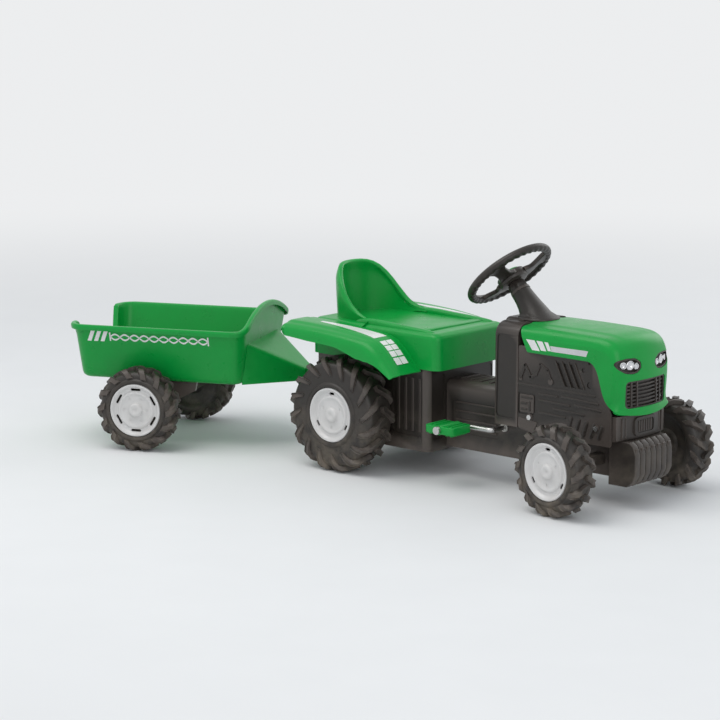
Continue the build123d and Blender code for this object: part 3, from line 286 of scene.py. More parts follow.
def piece_from(name, drawing, place, paint, angle=38):
    """A drawing in millimetres made a piece, in its place, smooth but for its crisp edges."""
    drawing.transform(place)
    if place.determinant() < 0:
        bmesh.ops.reverse_faces(drawing, faces=drawing.faces)
    mesh = bpy.data.meshes.new(name)
    drawing.to_mesh(mesh)
    drawing.free()
    mesh.polygons.foreach_set("use_smooth", [True] * len(mesh.polygons))
    mesh.set_sharp_from_angle(angle=math.radians(angle))
    mesh.materials.append(paint)
    piece = bpy.data.objects.new(name, mesh)
    bpy.context.scene.collection.objects.link(piece)
    return piece


def spun(profile, steps, closed=False):
    """A profile of (radius, along) pairs turned once round the Y axis."""
    drawing = bmesh.new()
    points = [drawing.verts.new((radius, along, 0)) for radius, along in profile]
    edges = [drawing.edges.new(pair) for pair in zip(points, points[1:])]
    if closed:
        edges.append(drawing.edges.new((points[-1], points[0])))
    bmesh.ops.spin(drawing, geom=points + edges, cent=(0, 0, 0), axis=(0, 1, 0),
                   angle=math.tau, steps=steps, use_merge=True)
    bmesh.ops.remove_doubles(drawing, verts=drawing.verts, dist=0.001)
    bmesh.ops.recalc_face_normals(drawing, faces=drawing.faces)
    return drawing


def ring_of(drawing, count):
    """The drawing repeated evenly round the Y axis."""
    bmesh.ops.spin(drawing, geom=drawing.verts[:] + drawing.edges[:] + drawing.faces[:],
                   cent=(0, 0, 0), axis=(0, 1, 0), angle=math.tau * (count - 1) / count,
                   steps=count - 1, use_duplicate=True)
    return drawing


def sliced_cube(slices):
    """Cube of size 1 with cuts across X that make this many equal slices."""
    drawing = bmesh.new()
    bmesh.ops.create_cube(drawing, size=1)
    for cut in range(1, slices):
        bmesh.ops.bisect_plane(
            drawing, geom=drawing.verts[:] + drawing.edges[:] + drawing.faces[:],
            plane_co=(cut / slices - 0.5, 0, 0), plane_no=(1, 0, 0))
    return drawing


def lug(rows, side):
    """One tread bar: rows of (inner radius, inner y, outer radius, outer y, lag, half width)."""
    drawing = sliced_cube(len(rows) - 1)
    crest = set()
    for point in drawing.verts:
        low_r, low_y, high_r, high_y, lag, half_width = rows[
            round((point.co.x + 0.5) * (len(rows) - 1))]
        top = point.co.z > 0
        radius, along = (high_r, high_y) if top else (low_r, low_y)
        turn = (lag + (1 if point.co.y > 0 else -1) * half_width * (0.80 if top else 1.1)) / radius
        if top:
            crest.add(point)
        point.co = (radius * math.sin(turn), side * along, radius * math.cos(turn))
    ridge = [edge for edge in drawing.edges if set(edge.verts) <= crest
             and len([face for face in edge.link_faces
                      if set(face.verts) <= crest]) == 1]
    bmesh.ops.bevel(drawing, geom=ridge, offset=1.3, segments=2, profile=0.6,
                    affect="EDGES", material=-1)
    tallest = max(row[2] for row in rows)
    for point in drawing.verts:
        spare = tallest / math.hypot(point.co.x, point.co.z)
        if spare < 1:
            point.co.x, point.co.z = point.co.x * spare, point.co.z * spare
    bmesh.ops.recalc_face_normals(drawing, faces=drawing.faces)
    return drawing


def tyre(radius, width, lug_height, lug_count, lug_foot, slant):
    """Wheel body about Y, hub recess on +Y, with a row of lugs each side half a pitch apart."""
    half, crown = width / 2, radius - lug_height
    wall_y = half - 3.6
    body = spun([
        (8, -half + 3), (21, -half + 3), (24, -half + 4.5), (29, -half + 8),
        (crown * 0.60, -half + 8), (crown * 0.66, -half + 5), (crown * 0.72, -half + 1),
        (crown * 0.76, -half), (crown * 0.82, -half + 0.5), (crown - 10, -wall_y),
        (crown - 4, -wall_y + 2.6), (crown - 1, -wall_y + 7), (crown, -wall_y + 12),
        (crown + 0.6, 0),
        (crown, wall_y - 12), (crown - 1, wall_y - 7), (crown - 4, wall_y - 2.6),
        (crown - 10, wall_y), (bead_radius + 13, wall_y + 0.2), (bead_radius + 11, wall_y),
        (bead_radius + 9.6, wall_y + 0.8), (bead_radius + 8.4, half - 1),
        (bead_radius + 6.4, half - 0.1), (bead_radius + 3.6, half),
        (bead_radius + 1.4, half - 0.9), (bead_radius + 0.3, half - 2.6),
        (bead_radius, half - 5), (bead_radius, half - 16), (bead_radius - 3, half - 18),
        (8, half - 18)], 112, closed=True)
    rows = [
        (crown - 3, -3.0, radius - 0.2, -2.5, 0.0, 5.0),
        (crown - 3, half * 0.10, radius, half * 0.10, -slant * 0.10, 7.2),
        (crown - 3, half * 0.34, radius, half * 0.34, -slant * 0.34, 7.6),
        (crown - 3, half * 0.58, radius - 0.6, half * 0.60, -slant * 0.62, 7.8),
        (crown - 4, half * 0.74, radius - 3.4, half * 0.82, -slant * 0.84, 8.0),
        (crown - 8, wall_y - 5.0, radius - 9.0, half - 1.6, -slant * 1.02, 7.8),
        (crown - 14, wall_y - 4.0, crown - 11.0, half - 0.4, -slant * 1.16, 7.0),
        (lug_foot - 2, wall_y - 4.0, lug_foot, wall_y + 1.0, -slant * 1.30, 5.4)]
    left = ring_of(lug(rows, 1), lug_count)
    right = lug(rows, -1)
    bmesh.ops.rotate(right, verts=right.verts, matrix=Matrix.Rotation(
        math.pi / lug_count, 3, "Y"))
    return joined(body, left, ring_of(right, lug_count))


def upright(direction):
    """Turn that takes a wheel's own Y axis to a level direction."""
    return Matrix.Rotation(math.atan2(-direction[0], direction[1]), 4, "Z")


wheel_places = {}
for corner, joint_name, body_name, radius in (
        ("rear_left", "rear_axle_turn", "rear_wheels", rear_radius),
        ("rear_right", "rear_axle_turn", "rear_wheels", rear_radius),
        ("front_left", "front_left_roll", "front_wheel_left", front_radius),
        ("front_right", "front_right_roll", "front_wheel_right", front_radius),
        ("trailer_left", "trailer_left_roll", "trailer_wheel_left", front_radius),
        ("trailer_right", "trailer_right_roll", "trailer_wheel_right", front_radius)):
    box_low, box_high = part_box(corner.replace("_", "_tyre_"))
    middle = (box_low + box_high) / 2
    half_turn = Matrix.Rotation(math.pi, 4, "Z") if corner.endswith("right") else Matrix()
    wheel_places[corner] = (
        Matrix.Translation((middle.x, middle.y, radius * millimetre)) @ millimetres
        @ upright(joints[joint_name]["axis"]) @ half_turn, body_name)

for corner, (place, body_name) in wheel_places.items():
    if corner.startswith("rear"):
        drawing = tyre(rear_radius, width=78, lug_height=10, lug_count=16, lug_foot=82, slant=26)
    else:
        drawing = tyre(front_radius, width=56.6, lug_height=8, lug_count=14, lug_foot=69.5,
                       slant=18)
    tyre_piece = piece_from("tyre_" + corner, drawing, place, tyre_black, angle=34)
    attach(tyre_piece, body_name)
    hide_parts(corner.replace("_", "_tyre_"))

# ---------------------------------------------------------------- hub caps
# White dished caps that snap into the wheels: a rolled rim, three narrow slots on the
# tractor's caps and six wide ones on the trailer's, and a raised boss over the axle end.
# the fourth colour is a painted highlight on sharp edges
hub_white = plastic("hub_white", (0.60, 0.59, 0.585), (0.70, 0.69, 0.68), 0.30,
                    (0.85, 0.85, 0.85), edge_highlight_amount=0.2, dust_amount=0.30, reach=0.16,
                    wave_depth=0.06, coat=0.2)
rear_half, front_half = 39, 29


def combined(first, second, how="DIFFERENCE"):
    """One drawing cut by, added to or kept within another."""
    solids = []
    for drawing in (first, second):
        drawing.normal_update()
        if drawing.calc_volume(signed=True) < 0:
            bmesh.ops.reverse_faces(drawing, faces=drawing.faces)
        mesh = bpy.data.meshes.new("drawing")
        drawing.to_mesh(mesh)
        drawing.free()
        solids.append(bpy.data.objects.new("drawing", mesh))
        bpy.context.scene.collection.objects.link(solids[-1])
    work = solids[0].modifiers.new("work", "BOOLEAN")
    work.operation = how
    work.object = solids[1]
    work.solver = "EXACT"
    bpy.context.view_layer.update()
    mesh = bpy.data.meshes.new_from_object(
        solids[0].evaluated_get(bpy.context.evaluated_depsgraph_get()))
    outcome = bmesh.new()
    outcome.from_mesh(mesh)
    bmesh.ops.remove_doubles(outcome, verts=outcome.verts, dist=0.002)
    bpy.data.meshes.remove(mesh)
    for solid in solids:
        solid_mesh = solid.data
        bpy.data.objects.remove(solid)
        bpy.data.meshes.remove(solid_mesh)
    return outcome


def pin(radius, along_from, along_to, segments=24, at=(0, 0)):
    """Round bar along Y at an (x, z) place."""
    drawing = bmesh.new()
    bmesh.ops.create_cone(drawing, cap_ends=True, segments=segments, radius1=radius,
                          radius2=radius, depth=along_to - along_from)
    bmesh.ops.rotate(drawing, verts=drawing.verts, matrix=Matrix.Rotation(math.pi / 2, 3, "X"))
    bmesh.ops.translate(drawing, verts=drawing.verts,
                        vec=(at[0], (along_from + along_to) / 2, at[1]))
    return drawing


def slot_bar(length, breadth, along_from, along_to, distance):
    """Bar with round ends, for cutting a slot that runs round a wheel at a distance."""
    drawing = pin(breadth / 2, along_from, along_to, 20)
    for point in drawing.verts:
        point.co.x += math.copysign(length / 2, point.co.x + 0.01)
        point.co.z += distance
    return drawing


def hub_cap(half, slots, slot_length, slot_breadth):
    """Cap about Y, seated in the recess of a wheel of this half width."""
    cap = spun([
        (0.0, half - 3.2), (3, half - 3.2), (4.4, half - 2.2), (10, half - 1.6),
        (12.6, half - 2.0), (14.4, half - 3.6), (15.6, half - 7.4), (18, half - 8.4),
        (30, half - 8.0), (33, half - 7.2), (35, half - 5.6), (37.5, half - 5.2),
        (39.5, half - 6.2), (41, half - 8.0), (46, half - 8.2), (48.5, half - 6.6),
        (50.5, half - 3.2), (52.5, half - 1.4), (54.6, half - 0.9), (56.2, half - 1.8),
        (57, half - 4), (57, half - 11), (53, half - 11), (48, half - 11),
        (16, half - 11), (0.0, half - 11)], 96)
    bars = ring_of(slot_bar(slot_length, slot_breadth, half - 14, half + 4, 44.2), slots)
    cap = combined(cap, bars)
    dimples = pin(3.2, half - 9.2, half + 4, 16, (0, 26))
    bmesh.ops.rotate(dimples, verts=dimples.verts,
                     matrix=Matrix.Rotation(math.pi / slots, 3, "Y"))
    return combined(cap, ring_of(dimples, slots))


for corner, (place, body_name) in wheel_places.items():
    if corner.startswith("rear"):
        drawing = hub_cap(rear_half, slots=3, slot_length=8, slot_breadth=5.4)
    elif corner.startswith("front"):
        drawing = hub_cap(front_half, slots=3, slot_length=8, slot_breadth=5.4)
    else:
        drawing = hub_cap(front_half, slots=6, slot_length=17, slot_breadth=5.6)
    cap_piece = piece_from("hub_" + corner, drawing, place, hub_white, angle=40)
    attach(cap_piece, body_name)
    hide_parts(corner.replace("_", "_hub_"))

# ---------------------------------------------------------------- bonnet
# One glossy green shell with a wall of 3.6 mm that hooks over the engine sides: a softly
# crowned top, rounded shoulders, and side edges that sweep down round the nose.
# the fourth colour is a painted highlight on sharp edges
green = plastic("green", (0.0008, 0.288, 0.041), (0.0012, 0.328, 0.049), 0.30,
                (0.06, 0.42, 0.12), edge_highlight_amount=0.12, dust_amount=0.08, reach=0.20,
                wave_depth=0.04, grain_depth=0.008)
green.node_tree.nodes["Principled BSDF"].inputs["Specular IOR Level"].default_value = 0.3
bonnet_half = 88
bonnet_wall = 3.6
crown_line = (((404, 341.6), (470, 343.4), (550, 343.0), (608, 340.4)),
              ((608, 340.4), (636, 338.8), (650, 334), (655.5, 310)),
              ((655.5, 310), (661.5, 282), (659.5, 214), (664.0, 185.8)))
edge_line = (((428, 290.5), (480, 290.5), (530, 290.5), (574, 290.0)),
             ((574, 290.0), (598, 289.0), (602, 262), (609, 240)),
             ((609, 240), (615, 220), (622, 208), (642, 199)))
stretch_steps = (26, 18, 18)
top_steps, shoulder_steps, side_steps = 14, 8, 12


def curve_points(stretches, steps):
    """Points along joined cubic curves, with a number of steps for each."""
    points = []
    for (start, leave, arrive, end), count in zip(stretches, steps):
        run = interpolate_bezier(*(Vector((x, 0, z)) for x, z in (start, leave, arrive, end)),
                                 count + 1)
        points += run if not points else run[1:]
    return points


def sheet(columns, rows, place):
    """Open grid of faces, each corner put where place(column, row) says."""
    drawing = bmesh.new()
    bmesh.ops.create_grid(drawing, x_segments=columns, y_segments=rows, size=0.5)
    for point in drawing.verts:
        point.co = place(round((point.co.x + 0.5) * columns), round((point.co.y + 0.5) * rows))
    return drawing


def shell(drawing, thickness, inside, inset=0.0):
    """An open sheet given a wall, inwards from its face or from an inset of it."""
    drawing.normal_update()
    facing = sum(face.normal.dot(face.calc_center_median() - Vector(inside)) * face.calc_area()
                 for face in drawing.faces)
    if facing < 0:
        bmesh.ops.reverse_faces(drawing, faces=drawing.faces)
    drawing.normal_update()
    if inset:
        moved = [(point, point.co - point.normal * inset) for point in drawing.verts]
        for point, target in moved:
            point.co = target
        drawing.normal_update()
    bmesh.ops.solidify(drawing, geom=drawing.faces[:], thickness=thickness)
    drawing.normal_update()
    if drawing.calc_volume(signed=True) < 0:
        bmesh.ops.reverse_faces(drawing, faces=drawing.faces)
    return drawing


crown_points = curve_points(crown_line, stretch_steps)
edge_points = curve_points(edge_line, stretch_steps)
across_steps = top_steps + shoulder_steps + side_steps


def smooth_share(value, low, high):
    """0 below low, 1 above high, and an even rise between."""
    share = min(1.0, max(0.0, (value - low) / (high - low)))
    return share * share * (3 - 2 * share)


def bonnet_point(along, across, raised=0.0):
    """Place on the bonnet: along from rear to nose, across from -1 to 1, both may be fractions."""
    at_step = min(int(along), len(crown_points) - 2)
    crown = crown_points[at_step].lerp(crown_points[at_step + 1], along - at_step)
    edge = edge_points[at_step].lerp(edge_points[at_step + 1], along - at_step)
    drop = edge - crown
    depth = drop.length
    nose_share = smooth_share(along, stretch_steps[0] - 4, stretch_steps[0] + stretch_steps[1])
    sag = 4.5 + (19.0 - 4.5) * nose_share
    corner = min(17.0, (depth - sag) * 0.8 + 2.0)
    flat = bonnet_half - corner
    step = abs(across) * across_steps
    if step <= top_steps:
        out = flat * step / top_steps
        down = 0.0
    elif step <= top_steps + shoulder_steps:
        turn = (step - top_steps) / shoulder_steps * math.pi / 2
        out = flat + corner * math.sin(turn)
        down = corner * (1 - math.cos(turn))
    else:
        out = bonnet_half
        down = corner + (depth - sag - corner) * (step - top_steps - shoulder_steps) / side_steps
    down += sag * (out / bonnet_half) ** 2
    place = crown + drop * (min(down, depth) / depth)
    # a raised middle panel on top, and a fold along each shoulder that dies out at the nose
    rear_share = 1 - smooth_share(along, stretch_steps[0] - 2, stretch_steps[0] + 10)
    panel_half = 46 + 8 * along / len(crown_points)
    panel = 1.6 * (1 - smooth_share(out, panel_half - 3, panel_half + 3)) * rear_share
    fold_at = top_steps + shoulder_steps + 0.6
    fold = 1.5 * smooth_share(step, fold_at - 0.9, fold_at + 0.3) * (
        1 - smooth_share(step, across_steps - 1.4, across_steps - 0.2)) * rear_share
    side = 1 if across >= 0 else -1
    lift = Vector((0, 0, panel - 1.6))
    return place + lift + Vector((0, side * (out - 1.5 + fold + raised), 0))


def bonnet_sheet():
    """The bonnet's outer face, with a row across for each step of its section."""
    return sheet(sum(stretch_steps), 2 * across_steps,
                 lambda column, row: bonnet_point(column, (row - across_steps) / across_steps))


def prism(outline, axis, start, end, rounding=0.0, segments=3):
    """Outline in the two other axes, drawn out along one axis, its long edges rounded."""
    drawing = bmesh.new()
    spread = {"x": lambda u, v: (start, u, v), "y": lambda u, v: (u, start, v),
              "z": lambda u, v: (u, v, start)}[axis]
    face = drawing.faces.new([drawing.verts.new(spread(u, v)) for u, v in outline])
    drawn = bmesh.ops.extrude_face_region(drawing, geom=[face])["geom"]
    step = Vector([end - start if letter == axis else 0 for letter in "xyz"])
    bmesh.ops.translate(drawing, vec=step,
                        verts=[item for item in drawn if isinstance(item, bmesh.types.BMVert)])
    if rounding:
        long_edges = [edge for edge in drawing.edges
                      if abs((edge.verts[0].co - edge.verts[1].co).dot(step)) > 0.99 * step.length
                      * (edge.verts[0].co - edge.verts[1].co).length]
        bmesh.ops.bevel(drawing, geom=long_edges, offset=rounding, segments=segments,
                        profile=0.5, affect="EDGES", material=-1)
    bmesh.ops.recalc_face_normals(drawing, faces=drawing.faces)
    return drawing


def block(low, high, rounding=1.0, segments=2):
    """Box between two corners with every edge rounded."""
    drawing = bmesh.new()
    bmesh.ops.create_cube(drawing, size=1)
    low, high = Vector(low), Vector(high)
    for point in drawing.verts:
        point.co = Vector(low[i] + (high[i] - low[i]) * (point.co[i] + 0.5) for i in range(3))
    if rounding:
        bmesh.ops.bevel(drawing, geom=drawing.edges[:], offset=rounding, segments=segments,
                        profile=0.5, affect="EDGES", material=-1)
    return drawing


# a point inside the bonnet, and a reach in front of and behind its nose for cutting through it
bonnet_middle = (530, 0, 250)
nose_from, nose_to = 600, 690
lamp_outline = ((-86.5, 291), (-80, 297.5), (-62, 300), (-38, 298.5), (-23, 290), (-21, 279),
                (-31, 269.5), (-48, 267.5), (-68, 271.5), (-83, 281))
grille_outline = ((-64, 201), (64, 201), (64, 254), (-64, 254))


def grown(outline, amount):
    """An outline moved outwards by about this amount."""
    middle = Vector((sum(u for u, _ in outline), sum(v for _, v in outline))) / len(outline)
    return [tuple(Vector(point) + (Vector(point) - middle).normalized() * amount)
            for point in outline]


def mirrored_outline(outline):
    """An outline on the other side of the centre line."""
    return [(-u, v) for u, v in outline]


def nose_sheet(first, last, reach):
    """The part of the bonnet's outer face between two steps along, this many steps wide."""
    return sheet(last - first, 2 * reach, lambda column, row: bonnet_point(
        first + column, (row - reach) / across_steps))


bonnet_shell = shell(bonnet_sheet(), bonnet_wall, bonnet_middle)
openings = joined(prism(grown(grille_outline, 0.4), "x", nose_from, nose_to, 9, 4),
                  prism(lamp_outline, "x", nose_from + 10, nose_to, 4, 3),
                  prism(mirrored_outline(lamp_outline), "x", nose_from + 10, nose_to, 4, 3))
bonnet_shell = combined(bonnet_shell, openings)
bonnet_piece = piece_from("bonnet_shell", bonnet_shell, tractor, green, angle=32)
rounded = bonnet_piece.modifiers.new("soft_edges", "BEVEL")
rounded.width, rounded.segments, rounded.limit_method = 0.0006, 2, "ANGLE"
rounded.angle_limit = math.radians(50)
rounded.use_clamp_overlap = True
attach(bonnet_piece, "chassis")
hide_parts("bonnet")

# stickers: three slanting white bars and a long silver bar on each side
# in both sticker films the fourth colour is a painted highlight on sharp edges
sticker_white = plastic("sticker_white", (0.72, 0.73, 0.72), (0.80, 0.80, 0.80), 0.24,
                        (0.8, 0.8, 0.8), grain_depth=0.004, wave_depth=0.02, dust_amount=0.15)
sticker_silver = plastic("sticker_silver", (0.50, 0.50, 0.52), (0.64, 0.64, 0.66), 0.26,
                         (0.7, 0.7, 0.7), grain_depth=0.004, wave_depth=0.02,
                         dust_amount=0.15)
sticker_film = 0.35
bar_columns, bar_rows = 20, 6
# each bar: where it starts and ends along, its slant, and its lower and upper share of the side
for sticker_name, paint, bars in (
        ("bonnet_bars", sticker_white, ((1.2, 4.2, -1.6, 0.10, 0.86), (4.9, 7.0, -1.6, 0.10, 0.80),
                                        (7.7, 9.0, -1.6, 0.10, 0.74))),
        ("bonnet_long_bar", sticker_silver, ((9.6, 24.0, -1.0, 0.34, 0.76),))):
    drawings = []
    for side in (-1, 1):
        for start, end, slant, low, high in bars:
            def bar_point(column, row, start=start, end=end, slant=slant, low=low, high=high,
                          side=side):
                share = low + (high - low) * (row / bar_rows)
                across = (top_steps + shoulder_steps + 1.0 + share * (side_steps - 2)
                          ) / across_steps
                return bonnet_point(start + (end - start) * column / bar_columns - slant * share,
                                    side * across, sticker_film)
            drawings.append(shell(sheet(bar_columns, bar_rows, bar_point), sticker_film * 2,
                                  bonnet_middle))
    sticker_piece = piece_from(sticker_name, joined(*drawings), tractor, paint)
    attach(sticker_piece, "chassis")

# ---------------------------------------------------------------- headlamps
# A black bezel in each front corner of the bonnet, with three bright moulded reflectors
# sunk behind its rim.
# the fourth colour is a painted highlight on sharp edges
satin_black = plastic("satin_black", (0.0140, 0.0112, 0.0092), (0.0255, 0.0205, 0.0168), 0.42,
                      (0.16, 0.13, 0.115), edge_highlight_amount=0.45, dust_amount=0.35, reach=0.16,
                      wave_depth=0.14, coat=0.12)
satin_black.node_tree.nodes["Principled BSDF"].inputs["Specular IOR Level"].default_value = 0.4
# the fourth colour is a painted highlight on sharp edges
lamp_chrome = plastic("lamp_chrome", (0.66, 0.66, 0.68), (0.80, 0.80, 0.82), 0.16,
                      (0.9, 0.9, 0.9), wave_depth=0.3, grain_depth=0.0)
lamp_chrome.node_tree.nodes["Principled BSDF"].inputs["Metallic"].default_value = 0.75
lamp_from, lamp_to = 27, 55
for lamp_name, mirror in (("right", False), ("left", True)):
    facing = mirrored_outline if mirror else list
    side = 1 if mirror else -1
    rim = combined(shell(nose_sheet(lamp_from, lamp_to, across_steps), 7.0, bonnet_middle,
                         inset=1.0),
                   prism(facing(grown(lamp_outline, -0.5)), "x", nose_from, nose_to, 4, 3),
                   "INTERSECT")
    rim = combined(rim, prism(facing(grown(lamp_outline, -4.2)), "x", nose_from + 12, nose_to,
                              4, 3))
    back = combined(shell(nose_sheet(lamp_from, lamp_to, across_steps), 3.0, bonnet_middle,
                          inset=7.0),
                    prism(facing(grown(lamp_outline, -0.7)), "x", nose_from, nose_to, 4, 3),
                    "INTERSECT")
    bezel = piece_from("lamp_bezel_" + lamp_name, joined(rim, back), tractor, satin_black)
    # each reflector: its place across and up, its radius, and the degrees it turns outwards
    bowls = []
    for out, up, size, turned in ((33.5, 282.0, 6.6, 6), (50.5, 285.0, 9.2, 14),
                                  (69.0, 286.0, 6.8, 32)):
        spot = min((bonnet_point(step / 2, side * share / 60)
                    for step in range(56, 108) for share in range(12, 61)),
                   key=lambda place: math.hypot(place.y - side * out, place.z - up))
        bowl = spun([(size, 0.0), (size, 5.0), (size - 1.0, 5.6), (size - 1.8, 4.6),
                     (size * 0.62, 2.4), (size * 0.3, 1.4), (2.2, 1.2), (1.8, 3.4),
                     (0, 3.9)], 28)
        bmesh.ops.translate(bowl, verts=bowl.verts, vec=(0, -7.6, 0))
        bmesh.ops.rotate(bowl, verts=bowl.verts, matrix=Matrix.Rotation(
            math.radians(side * turned - 90), 3, "Z"))
        bmesh.ops.translate(bowl, verts=bowl.verts, vec=(spot.x, side * out, up))
        bowls.append(bowl)
    bright = piece_from("lamp_reflectors_" + lamp_name, joined(*bowls), tractor, lamp_chrome)
    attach(bezel, "chassis")
    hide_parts("headlight_" + lamp_name)
    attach(bright, "chassis")

# ---------------------------------------------------------------- grille
# Dark insert clipped into the nose: a frame that follows the bonnet's curve, upright ribs,
# and level bars across the middle.
def grille_wall(thickness, inset, within):
    """A wall that follows the nose at an inset, kept within a drawing."""
    return combined(shell(nose_sheet(44, 62, top_steps), thickness, bonnet_middle, inset=inset),
                    within, "INTERSECT")


frame_ring = grille_wall(5.0, 1.6, prism(grown(grille_outline, -0.3), "x", nose_from, nose_to,
                                         8.5, 4))
frame_ring = combined(frame_ring, prism(grown(grille_outline, -5.5), "x", nose_from, nose_to,
                                        6, 4))
backing = grille_wall(3.0, 9.0, prism(grown(grille_outline, -0.6), "x", nose_from, nose_to, 8, 4))
bar_pitch, bar_height = 7.2, 3.0
slabs = [block((nose_from, -59, 206.5 + bar_pitch * step),
               (nose_to, 59, 206.5 + bar_height + bar_pitch * step), 0) for step in range(7)]
uprights = [block((nose_from, y - 1.6, 203), (nose_to, y + 1.6, 252), 0)
            for y in (-46, -31, 31, 46)]
bars = grille_wall(6.0, 4.2, joined(*slabs))
ribs = grille_wall(7.5, 2.8, joined(*uprights))
grille_piece = piece_from("grille_insert", joined(frame_ring, backing, bars, ribs), tractor,
                          satin_black)
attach(grille_piece, "chassis")
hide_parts("grille")

# ---------------------------------------------------------------- engine sides
# Two dark satin panels, each with a moulded picture of an engine: pipes, slanting louvres,
# a square cover and long cooling ribs, and two screws that hold it to the tunnel.
panel_inner, panel_face = 79.8, 83.8
engine_outline = ((402.2, 134), (402.2, 300), (588, 300), (612, 240), (632, 192), (632, 125),
                  (440, 125))


def capsule(start, end, radius, face, height):
    """Raised bar with round ends on an engine side, between two (x, z) places."""
    start, end = Vector((start[0], 0, start[1])), Vector((end[0], 0, end[1]))
    drawing = joined(pin(radius, 0, height, 14), pin(radius, 0, height, 14))
    points = list(drawing.verts)
    for index, point in enumerate(points):
        point.co += start if index < len(points) // 2 else end
    hull = bmesh.ops.convex_hull(drawing, input=drawing.verts)
    bmesh.ops.delete(drawing, geom=list({item for item in hull["geom_interior"]
                                         + hull["geom_unused"]
                                         if isinstance(item, bmesh.types.BMVert)}),
                     context="VERTS")
    bmesh.ops.dissolve_limit(drawing, angle_limit=0.01, verts=drawing.verts,
                             edges=drawing.edges)
    bmesh.ops.recalc_face_normals(drawing, faces=drawing.faces)
    bmesh.ops.translate(drawing, verts=drawing.verts, vec=(0, face, 0))
    top_edges = [edge for edge in drawing.edges
                 if all(point.co.y > face + height - 0.01 for point in edge.verts)]
    bmesh.ops.bevel(drawing, geom=top_edges, offset=min(1.0, radius * 0.4), segments=2,
                    profile=0.5, affect="EDGES", material=-1)
    return drawing


def mirrored(drawing):
    """The drawing's mirror image on the other side of the centre line."""
    for point in drawing.verts:
        point.co.y = -point.co.y
    bmesh.ops.reverse_faces(drawing, faces=drawing.faces)
    return drawing


def engine_side():
    """The left panel."""
    sheet_face = panel_face - 1.2
    bar_root = 0.4
    panel = prism(engine_outline, "y", panel_inner, sheet_face, 5, 3)
    louvres = [prism(((497.6 + shift, 277), (510.8 + shift, 277), (533.3 + shift, 231),
                      (520.1 + shift, 231)), "y", sheet_face - 2.3, sheet_face + 3, 3, 3)
               for shift in (0, 16, 32)]
    holes = [pin(radius, sheet_face - 1.8, sheet_face + 3, 24, spot)
             for radius, spot in ((4.6, (564, 269)), (6.4, (579, 241)), (3.0, (578, 284)))]
    cover_sunk = prism(((403.5, 163), (446, 163), (446, 207), (403.5, 207)), "y",
                       sheet_face - 1.6, sheet_face + 3, 4, 3)
    panel = combined(panel, joined(cover_sunk, *louvres, *holes))
    # bars with round ends: from and to, radius, height
    bars = [
        # cross pieces of the square cover
        ((412, 197), (437, 197), 2.0, 2.2), ((412, 185), (424, 185), 2.6, 2.2),
        ((432, 188), (432, 172), 2.4, 2.2), ((412, 173), (424, 173), 2.0, 2.2),
        # louvre lips
        *(((495.2 + shift, 279), (518.2 + shift, 232), 1.2, 2.4) for shift in (0, 16, 32, 48)),
        # pipes and cables
        ((409, 236), (420, 262), 3.0, 2.6), ((420, 262), (434, 240), 3.0, 2.6),
        ((434, 240), (448, 246), 3.0, 2.6), ((448, 246), (458, 268), 2.6, 2.4),
        ((458, 268), (476, 258), 2.6, 2.4), ((476, 258), (484, 240), 2.6, 2.4),
        # long cooling ribs, stepped back towards the nose
        ((404, 223), (592, 221), 2.6, 1.8),
        ((456, 208), (500, 208), 2.2, 2.2), ((512, 210), (600, 206), 2.2, 2.2),
        ((456, 196), (530, 194), 2.2, 2.2), ((544, 197), (606, 193), 2.2, 2.2),
        ((492, 183), (566, 180), 2.2, 2.2), ((456, 171), (520, 169), 2.2, 2.2),
        # sloping ribs above the front axle
        *(((535 + step * 19, 170 - step * 2), (527 + step * 19, 140), 4.2, 2.0)
          for step in range(5))]
    raised = [capsule(start, end, radius, sheet_face - bar_root, height)
              for start, end, radius, height in bars]
    # square cover, foot plate, pipe ends and screw bosses
    raised += [
        prism(((407, 167), (442, 167), (442, 203), (407, 203)), "y", sheet_face - 2,
              sheet_face + 0.3, 3, 3),
        prism(((404, 136), (441, 128), (452, 150), (404, 156)), "y", sheet_face - 1,
              sheet_face + 1.2, 3, 3),
        pin(6.0, sheet_face - bar_root, sheet_face + 1.8, 24, (484, 236)),
        pin(4.0, sheet_face - bar_root, sheet_face + 1.8, 24, (409, 234)),
        *(pin(8.0, sheet_face - 1, sheet_face + 1.0, 28, spot)
          for spot in ((432, 158), (596, 158)))]
    return joined(panel, *raised)


for side_name, turned in (("left", False), ("right", True)):
    drawing = mirrored(engine_side()) if turned else engine_side()
    panel_piece = piece_from("engine_panel_" + side_name, drawing, tractor, satin_black,
                             angle=30)
    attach(panel_piece, "chassis")
    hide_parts("engine_side_" + side_name)

# ---------------------------------------------------------------- dashboard
# Dark moulding that stands across the tunnel behind the bonnet: rounded shoulders, a
# hollow in each side panel, and a raised instrument hood in front of the driver.
def arch(half, low, top, corner, steps=8):
    """Upright arch of (y, z) pairs from one foot over to the other."""
    right_side = [(half, low)] + [
        (half - corner + corner * math.cos(step / steps * math.pi / 2),
         top - corner + corner * math.sin(step / steps * math.pi / 2))
        for step in range(steps + 1)]
    return right_side + [(-y, z) for y, z in reversed(right_side)]


def softened(drawing, chosen, offset, segments=3):
    """The drawing with its chosen edges rounded."""
    bmesh.ops.bevel(drawing, geom=[edge for edge in drawing.edges if chosen(edge)],
                    offset=offset, segments=segments, profile=0.5, affect="EDGES",
                    material=-1)
    return drawing


def edge_at(axis, value):
    """Chooses the edges that lie at a value on one axis."""
    index = "xyz".index(axis)
    return lambda edge: all(abs(point.co[index] - value) < 0.05 for point in edge.verts)


